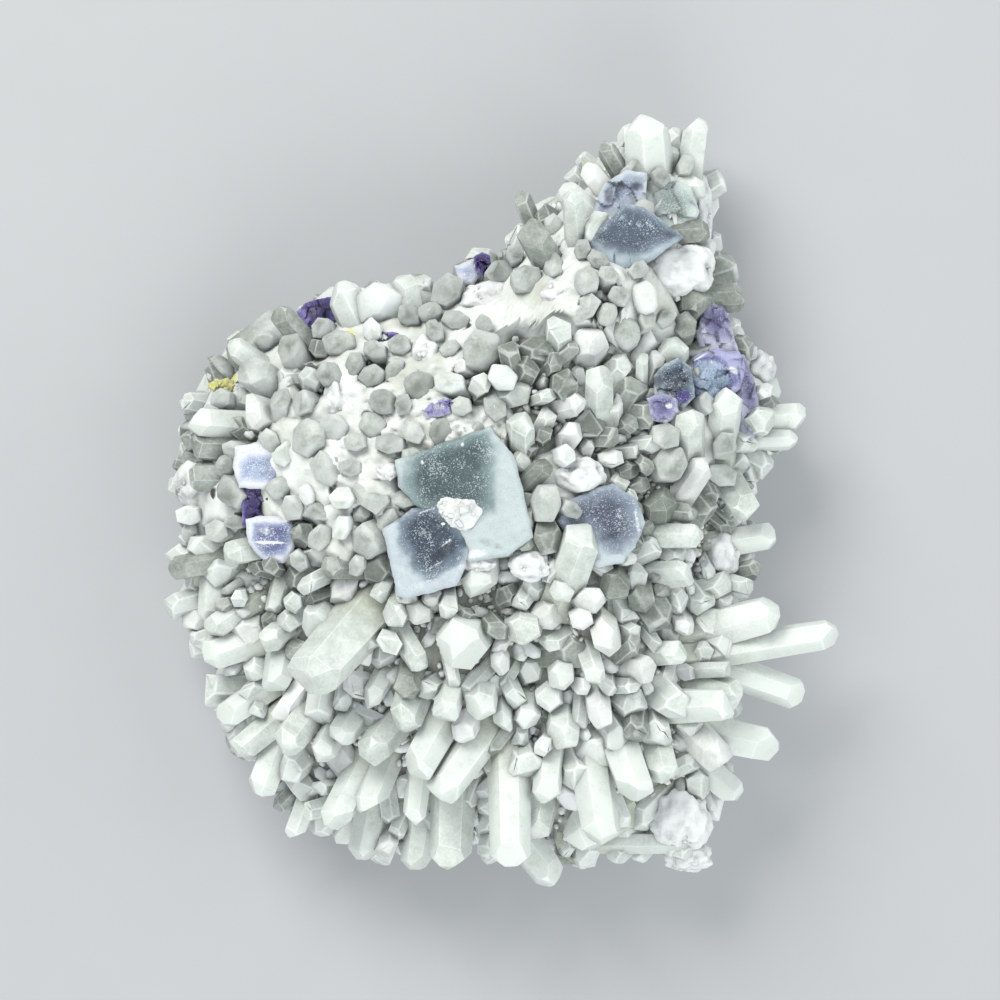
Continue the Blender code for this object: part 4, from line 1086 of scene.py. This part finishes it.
def chalk_share(x, y):
    """How much white matrix stands at a place, 0 to 1."""
    wander = noise.noise(Vector((x, y, 7.0)) / 6.0) * 0.3
    share = 0.0
    for patch_x, patch_y, reach, full in CHALK_PATCHES:
        away = math.hypot(x - patch_x, y - patch_y) / reach + wander
        share = max(share, full * min(1.0, max(0.0, (1.1 - away) / 0.25)))
    for hollow_x, hollow_y, radius in CHALK_HOLLOWS:
        away = math.hypot(x - hollow_x, y - hollow_y) / radius
        share *= min(1.0, max(0.0, (away - 0.5) / 0.5))
    return share


def surface_height(x, y):
    """Height of the rock with the white matrix on it."""
    return rock_height(x, y) + CHALK_RISE * chalk_share(x, y)


class SPECIMEN_OT_chalk(bpy.types.Operator):
    """The white sugary matrix that fills the room between the crystals of the upper face"""

    bl_idname = "specimen.chalk"
    bl_label = "White Matrix"

    sides = 260
    rings = 84

    def execute(self, context):
        leave_edit_mode()
        bpy.ops.mesh.primitive_cylinder_add(vertices=self.sides, radius=1.0, depth=1.0, location=(0, 0, 0.5))
        item = context.object
        item.name = item.data.name = "white_matrix"
        bpy.ops.object.transform_apply(location=True, rotation=True, scale=True)
        shape = bmesh.new()
        shape.from_mesh(item.data)
        for top in (True, False):
            caps = [face for face in shape.faces if len(face.verts) > 4 and (face.normal.z > 0.5) == top]
            rings = self.rings if top else 8
            for ring in range(rings - 1):
                bmesh.ops.inset_region(shape, faces=caps, thickness=1.0 / rings, use_even_offset=True)
            bmesh.ops.poke(shape, faces=caps)
        for vert in shape.verts:
            vert.co = self.place(vert.co)
        bmesh.ops.recalc_face_normals(shape, faces=shape.faces)
        shape.to_mesh(item.data)
        shape.free()
        item.data.materials.append(chalk_material())
        shade_by_angle(item, 60)
        settle(item, None)
        return {"FINISHED"}

    @staticmethod
    def place(point):
        heading = math.degrees(math.atan2(point.y, point.x))
        turn = math.radians(heading)
        share = min(math.hypot(point.x, point.y), 1.0)
        top = point.z > 0.5
        reach = outline_reach(heading) * share * (0.985 if top else 0.95)
        x = MIDDLE[0] + reach * math.cos(turn)
        y = MIDDLE[1] + reach * math.sin(turn)
        if not top:
            return Vector((x, y, rock_height(x, y) - 5.0)) * MM
        spot = Vector((x, y, 0.0))
        cells = noise.voronoi(spot / 4.2)[0]
        ridges = abs(noise.fractal(spot / 3.0, 1.0, 2.0, 4))
        lumps = (0.5 - cells[0]) * 0.7 + noise.fractal(spot / 1.3, 0.9, 2.0, 4) * 0.5 + 1.2 * ridges - 0.35
        amount = chalk_share(x, y)
        rim = max(0.0, share - 0.93) / 0.07
        height = (CHALK_RISE + lumps) * amount - 1.6 * (1.0 - amount) - 3.0 * rim * rim
        drift = noise.turbulence_vector(spot / 2.0, 3, False) * 0.3 * amount
        return Vector((x + drift.x, y + drift.y, rock_height(x, y) + height)) * MM


def tone_of(chance, x, y, white=0.0):
    """How pale a crystal is: paler low on the flank, partly its own tone and partly painted light from the front,
    paler at the rims, greyer on the upper face.
    """
    # Painted light: crystals low on the flank, which face the front light, are made paler.
    lower = max(0.0, min(1.0, (-y - 4.0) / 22.0))
    rim = max(0.0, min(1.0, (reach_share(x, y) - 0.8) * 3.0))
    return min(1.0, max(0.0, chance.gauss(0.36 + 0.3 * lower + 0.2 * rim + white, 0.22)))


class SPECIMEN_OT_large_quartz(bpy.types.Operator):
    """The quartz crystals that are pieces of their own"""

    bl_idname = "specimen.large_quartz"
    bl_label = "Large Quartz"

    def execute(self, context):
        chance = random.Random(3)
        materials = [shared_quartz("glowing")]
        for index, (name, row) in enumerate(LARGE_QUARTZ.items()):
            tip_x, tip_y, heading, rise, length, width = row
            root, direction, length = crystal_place(tip_x, tip_y, heading, rise, length)
            batch = Batch()
            pattern = patterns("fine")[index % len(patterns("fine"))]
            tone = tone_of(chance, root.x, root.y, 0.3)
            tip = root + direction * length
            batch.crystal(pattern, tip, direction, length + BURIED, width, chance.uniform(0, 2 * math.pi), tone)
            item = batch.build(name + "_crystal", materials)
            shade_by_angle(item, 24)
            settle(item, name)
        return {"FINISHED"}


def shared_quartz(kind):
    """The quartz finishes, each made once."""
    name = "quartz_" + kind
    material = bpy.data.materials.get(name)
    if material:
        return material
    # Pale and deep colour, share seen through, milkiness, and strength of the pale edges, which are frost and a
    # painted glow.
    pale, deep, clear, milk_share, edge = {
        "glowing": ((0.74, 0.79, 0.73), (0.50, 0.54, 0.48), 0.0, 0.35, 0.9),
        "milky": ((0.72, 0.77, 0.71), (0.44, 0.49, 0.43), 0.0, 0.25, 1.0),
        "clear": ((0.55, 0.59, 0.53), (0.21, 0.235, 0.20), 0.2, 0.0, 0.7),
        "white": ((0.86, 0.88, 0.84), (0.62, 0.64, 0.59), 0.0, 0.0, 0.5),
    }[kind]
    return quartz_material(name, pale, deep, clear, milk_share, edge)


def taken_places():
    """Points in plan that a crystal of the tables covers, with the room that each needs."""
    places = []
    for tip_x, tip_y, heading, rise, length, width in (*LARGE_QUARTZ.values(), *MIDDLING_QUARTZ):
        root, direction, length = crystal_place(tip_x, tip_y, heading, rise, length)
        for share in (0.6, 0.8, 1.0):
            point = root + direction * length * share
            places.append((point.x, point.y, width / 2))
    for row in SMALL_KNOBS.values():
        places.append((row[0], row[1], (row[3] + row[4]) / 4))
    for plates in FLUORITE.values():
        for plate in plates:
            x, y = np.mean(plate.outline, axis=0)
            reach = np.min(np.hypot(*(np.array(plate.outline) - (x, y)).T))
            places.append((x, y, reach * 0.95))
    for row in KNOBS.values():
        places.append((row[0], row[1], (row[3] + row[4]) / 4))
    return places


def inside_box(point, margin):
    low, high = cad_box
    return all(low[i] / MM + margin < point[i] < high[i] / MM - margin for i in (0, 1)) and point.z > margin


class SPECIMEN_OT_crust(bpy.types.Operator):
    """Middling and small quartz crystals that cover the face and the sides"""

    bl_idname = "specimen.crust"
    bl_label = "Quartz Crust"

    def execute(self, context):
        self.batches = {name: Batch() for name in ("crust_upper", "crust_lower", "crust_sides")}
        self.chance = random.Random(17)
        self.taken = list(taken_places())
        for row in RIM_SLABS:
            root, direction, length = crystal_place(*row[:5])
            self.put(root, direction, length, row[5], "pebble", 0.3, 1)
        self.tabled()
        sizes = context.scene.specimen_sizes
        self.fill(600, 0.54, (3.4, 7.2), (5.5, 9.0), 16000, "pebble")
        self.fill(900, sizes.middling_gap, (3.0, 6.4), (3.8, 7.6), 14000, "plain")
        self.sides(430, (2.6, 5.4), (3.4, 6.4))
        self.fill(1300, sizes.small_gap, (1.7, 3.2), (2.6, 5.4), 14000, "small")
        materials = [shared_quartz("milky"), shared_quartz("clear"), shared_quartz("white")]
        for name, batch in self.batches.items():
            item = batch.build(name, materials)
            shade_by_angle(item, 75)
            settle(item, None)
        return {"FINISHED"}

    def put(self, root, direction, length, width, kind, tone, slot):
        tip = root + direction * length
        if not inside_box(tip, 0.3) or tip.z < width * 0.5:
            return False
        tone = min(1.0, max(-0.2, tone + 0.24 * (0.6 - direction.z)))
        name = "crust_upper" if root.y > -6 else "crust_lower"
        if reach_share(root.x, root.y) > 0.97:
            name = "crust_sides"
        pattern = self.chance.choice(patterns(kind))
        turn = self.chance.uniform(0, 2 * math.pi)
        buried = min(BURIED, length * 0.5)
        aspect = self.chance.uniform(0.75, 1.05)
        self.batches[name].crystal(pattern, tip, direction, length + buried, width, turn, tone, slot, aspect)
        return True

    def look(self, x, y, kind, white=0.0):
        """Tone and finish of a crystal: grey where it is set in the white matrix."""
        if kind == "pebble":
            return self.chance.uniform(-0.2, 0.9), 1 if self.chance.random() < 0.85 else 0
        tone = tone_of(self.chance, x, y, white)
        if self.chance.random() < 0.12:
            return tone, 2
        return tone, 1 if tone < 0.42 else 0

    def tabled(self):
        for tip_x, tip_y, heading, rise, length, width in MIDDLING_QUARTZ:
            kind = "pebble" if chalk_share(tip_x, tip_y) > 0.4 and rise > 45 else "fine"
            if kind == "pebble":
                length = min(length, CHALK_RISE + 2.2)
            root, direction, length = crystal_place(tip_x, tip_y, heading, rise, length)
            tone, slot = self.look(root.x, root.y, kind, 0.1)
            self.put(root, direction, length, width, kind, tone, slot)

    def fill(self, count, crowding, widths, lengths, tries, kind):
        made = 0
        for _ in range(tries):
            turn = self.chance.uniform(0, 2 * math.pi)
            heading = math.degrees(turn)
            reach = outline_reach(heading) * 0.99 * math.sqrt(self.chance.random())
            x = MIDDLE[0] + reach * math.cos(turn)
            y = MIDDLE[1] + reach * math.sin(turn)
            width = self.chance.uniform(*widths)
            share = reach_share(x, y)
            lean = max(10, 60 - 28 * share ** 2 + self.chance.gauss(0, 24))
            direction = bearing(heading + self.chance.gauss(0, 55), min(lean, 89))
            length = self.chance.uniform(*lengths)
            if (chalk_share(x, y) > 0.3) != (kind == "pebble"):
                continue
            if kind == "pebble":
                direction = bearing(heading, self.chance.uniform(70, 89))
                length = CHALK_RISE + self.chance.uniform(1.0, 2.4)
            head = Vector((x, y, 0.0)) + direction * length * 0.7
            places = np.array(self.taken)
            distance = np.hypot(places[:, 0] - head.x, places[:, 1] - head.y)
            if (distance < (places[:, 2] + width / 2) * crowding * 1.3).any():
                continue
            root = Vector((x, y, rock_height(x, y) - 0.4))
            tone, slot = self.look(x, y, kind)
            if self.put(root, direction, length, width, kind, tone, slot):
                self.taken.append((head.x, head.y, width / 2))
                made += 1
            if made == count:
                break

    def sides(self, count, widths, lengths):
        for index in range(count):
            heading = 360 * (index + self.chance.uniform(-0.4, 0.4)) / count
            height = RIM_HEIGHT * (1 - 0.72 * self.chance.random() ** 1.3)
            turn = math.radians(heading)
            width = self.chance.uniform(*widths)
            length = self.chance.uniform(*lengths)
            reach = side_reach(heading, height) - 1.2
            root = Vector((MIDDLE[0] + reach * math.cos(turn), MIDDLE[1] + reach * math.sin(turn), height))
            rise = self.chance.gauss(10, 22)
            direction = bearing(heading + self.chance.gauss(0, 36), rise)
            self.put(root, direction, length, width, "plain", *self.look(root.x, root.y, "plain"))


class SPECIMEN_OT_grains(bpy.types.Operator):
    """Sugary grains of quartz in the gaps of the crust"""

    bl_idname = "specimen.grains"
    bl_label = "Grains"

    def execute(self, context):
        chance = random.Random(29)
        batch = Batch()
        kinds = patterns("small")
        for _ in range(context.scene.specimen_sizes.grain_count):
            turn = chance.uniform(0, 2 * math.pi)
            heading = math.degrees(turn)
            width = chance.uniform(0.5, 1.3)
            if chance.random() < 0.72:
                reach = outline_reach(heading) * math.sqrt(chance.random())
                x = MIDDLE[0] + reach * math.cos(turn)
                y = MIDDLE[1] + reach * math.sin(turn)
                if chalk_share(x, y) > 0.1:
                    continue
                root = Vector((x, y, surface_height(x, y)))
                direction = bearing(heading + chance.gauss(0, 60), chance.uniform(35, 90))
            else:
                height = RIM_HEIGHT * (1 - 0.85 * chance.random() ** 1.5)
                reach = side_reach(heading, height) - 0.5
                x = MIDDLE[0] + reach * math.cos(turn)
                y = MIDDLE[1] + reach * math.sin(turn)
                root = Vector((x, y, height))
                direction = bearing(heading + chance.gauss(0, 40), chance.gauss(10, 25))
            length = width * chance.uniform(0.8, 1.8)
            tip = root + direction * length
            if not inside_box(tip, 0.3):
                continue
            tone = tone_of(chance, x, y, 0.1)
            slot = 0 if chance.random() < 0.6 else 1
            turn = chance.uniform(0, 2 * math.pi)
            batch.crystal(chance.choice(kinds), tip, direction, length + width, width, turn, tone, slot)
        item = batch.build("grains", [shared_quartz("white"), shared_quartz("clear")])
        settle(item, None)
        return {"FINISHED"}


class SPECIMEN_OT_knobs(bpy.types.Operator):
    """Lumps of sugary white quartz: a rough core bristling with short crystals"""

    bl_idname = "specimen.knobs"
    bl_label = "White Knobs"

    def execute(self, context):
        white = knob_material("white_quartz", (0.82, 0.85, 0.81), (0.92, 0.94, 0.91))
        yellow = knob_material("yellow_crust", (0.80, 0.77, 0.42), (0.86, 0.82, 0.20))
        for seed, (name, row) in enumerate({**KNOBS, **SMALL_KNOBS}.items()):
            self.knob(context, name, row, yellow if "yellow" in name else white, seed)
        return {"FINISHED"}

    def knob(self, context, name, row, material, seed):
        x, y, lift, length, breadth, height = row
        centre = Vector((x, y, max(rock_height(x, y) + lift, height / 2 + SMALLEST_LIFT)))
        size = Vector((length, breadth, height)) / 2
        leave_edit_mode()
        bpy.ops.mesh.primitive_ico_sphere_add(subdivisions=5, radius=1.0, location=(0, 0, 0))
        core = context.object
        for vert in core.data.vertices:
            spot = vert.co.copy()
            bump = 1 + 0.22 * noise.noise(spot * 1.9 + centre)
            cells = noise.voronoi(spot * size.x / 1.9 + centre)[0]
            fine = noise.fractal(spot * size.x / 0.9 + centre, 1.0, 2.0, 3) * 0.05
            vert.co = centre + spot * (bump + fine + 0.06 - 0.12 * cells[0]) * size * 0.96
        pattern = Pattern(core, np.full(len(core.data.loops), 0.5))
        batch = Batch()
        grain = np.empty((len(pattern.corners), 3))
        grain[:] = (0.9, 0.9, 0.5)
        batch.gather(pattern, pattern.points, 0, {"grain": grain})
        chance = random.Random(seed + 70)
        for _ in range(int(60 + size.x * size.y * 14)):
            outward = Vector([chance.gauss(0, 1) for _ in range(3)]).normalized()
            if outward.z < -0.4:
                continue
            width = chance.uniform(0.5, 1.3)
            long = width * chance.uniform(0.0, 0.3)
            place = centre + Vector((outward.x * size.x, outward.y * size.y, outward.z * size.z)) * 0.84
            lean = (outward + Vector([chance.gauss(0, 0.35) for _ in range(3)])).normalized()
            tip = place + lean * long
            if not inside_box(tip, 0.2):
                continue
            kind = patterns("small")
            turn = chance.uniform(0, 2 * math.pi)
            batch.crystal(chance.choice(kind), tip, lean, long + width, width, turn, chance.uniform(0.6, 1.0))
        item = batch.build(name, [material])
        shade_by_angle(item, 40)
        settle(item, None)


def face_relief(x, y, facets, seed):
    """Height of the growth steps, and of the tilted facets if any, on a fluorite face."""
    spot = Vector((x, y, seed))
    waves = noise.fractal(spot / 3.4, 1.0, 2.0, 3)
    relief = 0.1 * waves + 0.07 * math.floor(waves * 4)
    if facets:
        centre = noise.voronoi(spot / facets)[1][0] * facets
        lean = noise.noise_vector(centre * 1.3)
        relief += lean.x * 1.1 + ((x - centre.x) * lean.y + (y - centre.y) * lean.z) * 0.8
    return relief


class SPECIMEN_OT_fluorite(bpy.types.Operator):
    """Zoned fluorite crystals, each cut to its outline, with steps, facets and marks on its face"""

    bl_idname = "specimen.fluorite"
    bl_label = "Fluorite"

    def execute(self, context):
        material = fluorite_material()
        for seed, (name, plates) in enumerate(FLUORITE.items()):
            batch = Batch()
            for plate in plates:
                self.grow(batch, plate, seed)
            item = batch.build(name + "_crystals", [material])
            shade_by_angle(item, 26)
            settle(item, name)
        return {"FINISHED"}

    @staticmethod
    def grow(batch, plate, seed):
        pattern = model_plate(plate.outline)
        flat = pattern.points[:, :2]
        top = pattern.points[:, 2] > -0.5
        margin = np.clip(inside_distance(flat, plate.outline) / PLATE_ROUND, 0.0, 1.0)
        for index, (x, y) in enumerate(flat.copy()):
            ragged = noise.turbulence_vector(Vector((x, y, seed)) / 1.6, 3, False) * PLATE_RAGGED
            flat[index] += (ragged.x, ragged.y)
        middle = np.mean(plate.outline, axis=0)
        rock = rock_height(*middle)
        height = rock + plate.lift + (flat - middle) @ np.array(plate.slope)
        height -= PLATE_DROP * (1.0 - margin) ** 2
        for index in np.flatnonzero(top):
            height[index] += face_relief(*flat[index], plate.facets, seed)
        points = np.column_stack((flat, np.where(top, height, rock - PLATE_BURIED)))
        depth = np.clip(0.5 + inside_distance(flat, plate.core) / plate.feather, 0.0, 1.0) * top
        marks = {kind: np.zeros(len(flat)) for kind in ("shade", "white", "pale", "violet")}
        for kind, x, y, along, across, turn, strength in plate.marks:
            spin = math.radians(turn)
            away = flat - (x, y)
            first = (away[:, 0] * math.cos(spin) + away[:, 1] * math.sin(spin)) / along
            second = (away[:, 1] * math.cos(spin) - away[:, 0] * math.sin(spin)) / across
            value = strength * np.clip(1.5 - np.hypot(first, second), 0.0, 1.0) * top
            marks[kind] = np.maximum(marks[kind], value)
        zones = np.column_stack((depth, marks["shade"], marks["white"]))
        tints = np.column_stack((marks["pale"], marks["violet"], depth))
        values = {"zones": zones[pattern.corners], "tints": tints[pattern.corners]}
        values.update(zip(("core", "ring", "edge"), FLUORITE_COLOURS[plate.colours]))
        batch.gather(pattern, points, 0, values)


# The stage: the camera looks straight down on the display face
FIELD_WIDTH = 150.0
FOCUS_HEIGHT = 16.0
LENS = 200.0
SENSOR = 36.0
FLOOR_SIZE = 3.0


class SPECIMEN_OT_stage(bpy.types.Operator):
    """Pale floor, soft studio lights and the camera"""

    bl_idname = "specimen.stage"
    bl_label = "Stage"

    def execute(self, context):
        leave_edit_mode()
        bpy.ops.mesh.primitive_plane_add(size=FLOOR_SIZE, location=(0, 0, 0))
        floor = context.object
        floor.name = "floor"
        recipe = Recipe("floor", specular_ior_level=0.2)
        grain = recipe.cloud(90.0, 3.0, 0.5)
        base = tuple(context.scene.specimen_colours.floor)
        shade = tuple(value * 0.97 for value in base)
        floor.data.materials.append(recipe.finish(recipe.blend(grain, shade, base), 0.8))

        world = bpy.data.worlds.new("studio")
        world.use_nodes = True
        world.node_tree.nodes["Background"].inputs[0].default_value = (0.9, 0.95, 1.0, 1.0)
        world.node_tree.nodes["Background"].inputs[1].default_value = 0.52
        context.scene.world = world
        context.scene.view_settings.view_transform = "Standard"
        context.scene.cycles.max_bounces = 4
        context.scene.cycles.transmission_bounces = 4
        context.scene.cycles.diffuse_bounces = 2
        context.scene.cycles.glossy_bounces = 2
        context.scene.cycles.use_fast_gi = True
        context.scene.cycles.fast_gi_method = "REPLACE"
        context.scene.cycles.ao_bounces_render = 1
        world.light_settings.distance = 1.2 * MM

        self.light("key", (-0.35, 0.55, 0.62), 0.5, 6.0, (1.0, 0.99, 0.97))
        self.light("fill", (0.6, 0.1, 0.5), 0.6, 2.4, (0.95, 0.98, 1.0))
        self.light("front", (0.05, -0.6, 0.5), 0.6, 3.0, (0.97, 0.99, 1.0))

        camera_data = bpy.data.cameras.new("camera")
        camera_data.lens = LENS
        camera_data.sensor_width = SENSOR
        distance = FIELD_WIDTH * LENS / SENSOR
        camera = bpy.data.objects.new("camera", camera_data)
        camera.location = (0, 0, (FOCUS_HEIGHT + distance) * MM)
        camera_data.clip_start = 0.01
        context.scene.collection.objects.link(camera)
        context.scene.camera = camera
        return {"FINISHED"}

    def light(self, name, place, size, power, colour):
        data = bpy.data.lights.new(name, "AREA")
        data.shape = "SQUARE"
        data.size = size
        data.energy = power
        data.color = colour
        lamp = bpy.data.objects.new(name, data)
        lamp.location = place
        lamp.rotation_euler = (-Vector(place)).to_track_quat("-Z", "Y").to_euler()
        bpy.context.scene.collection.objects.link(lamp)


OPERATORS = (
    SPECIMEN_OT_rock, SPECIMEN_OT_chalk, SPECIMEN_OT_large_quartz, SPECIMEN_OT_crust, SPECIMEN_OT_grains,
    SPECIMEN_OT_knobs, SPECIMEN_OT_fluorite, SPECIMEN_OT_stage,
)


class SPECIMEN_PT_panel(bpy.types.Panel):
    """Lists the pieces of the specimen"""

    bl_idname = "SPECIMEN_PT_panel"
    bl_label = "Specimen"
    bl_space_type = "VIEW_3D"
    bl_region_type = "UI"
    bl_category = "Specimen"

    def draw(self, context):
        for group in (context.scene.specimen_sizes, context.scene.specimen_colours):
            for key in group.__annotations__:
                self.layout.prop(group, key)
        for operator in OPERATORS:
            self.layout.operator(operator.bl_idname)


CLASSES = (SpecimenSizes, SpecimenColours, *OPERATORS, SPECIMEN_PT_panel)


def register():
    for item in CLASSES:
        bpy.utils.register_class(item)
    bpy.types.Scene.specimen_sizes = bpy.props.PointerProperty(type=SpecimenSizes)
    bpy.types.Scene.specimen_colours = bpy.props.PointerProperty(type=SpecimenColours)


def unregister():
    del bpy.types.Scene.specimen_colours
    del bpy.types.Scene.specimen_sizes
    for item in reversed(CLASSES):
        bpy.utils.unregister_class(item)


def main():
    register()
    for operator in OPERATORS:
        group, action = operator.bl_idname.split(".")
        getattr(getattr(bpy.ops, group), action)()


if __name__ == "__main__":
    main()
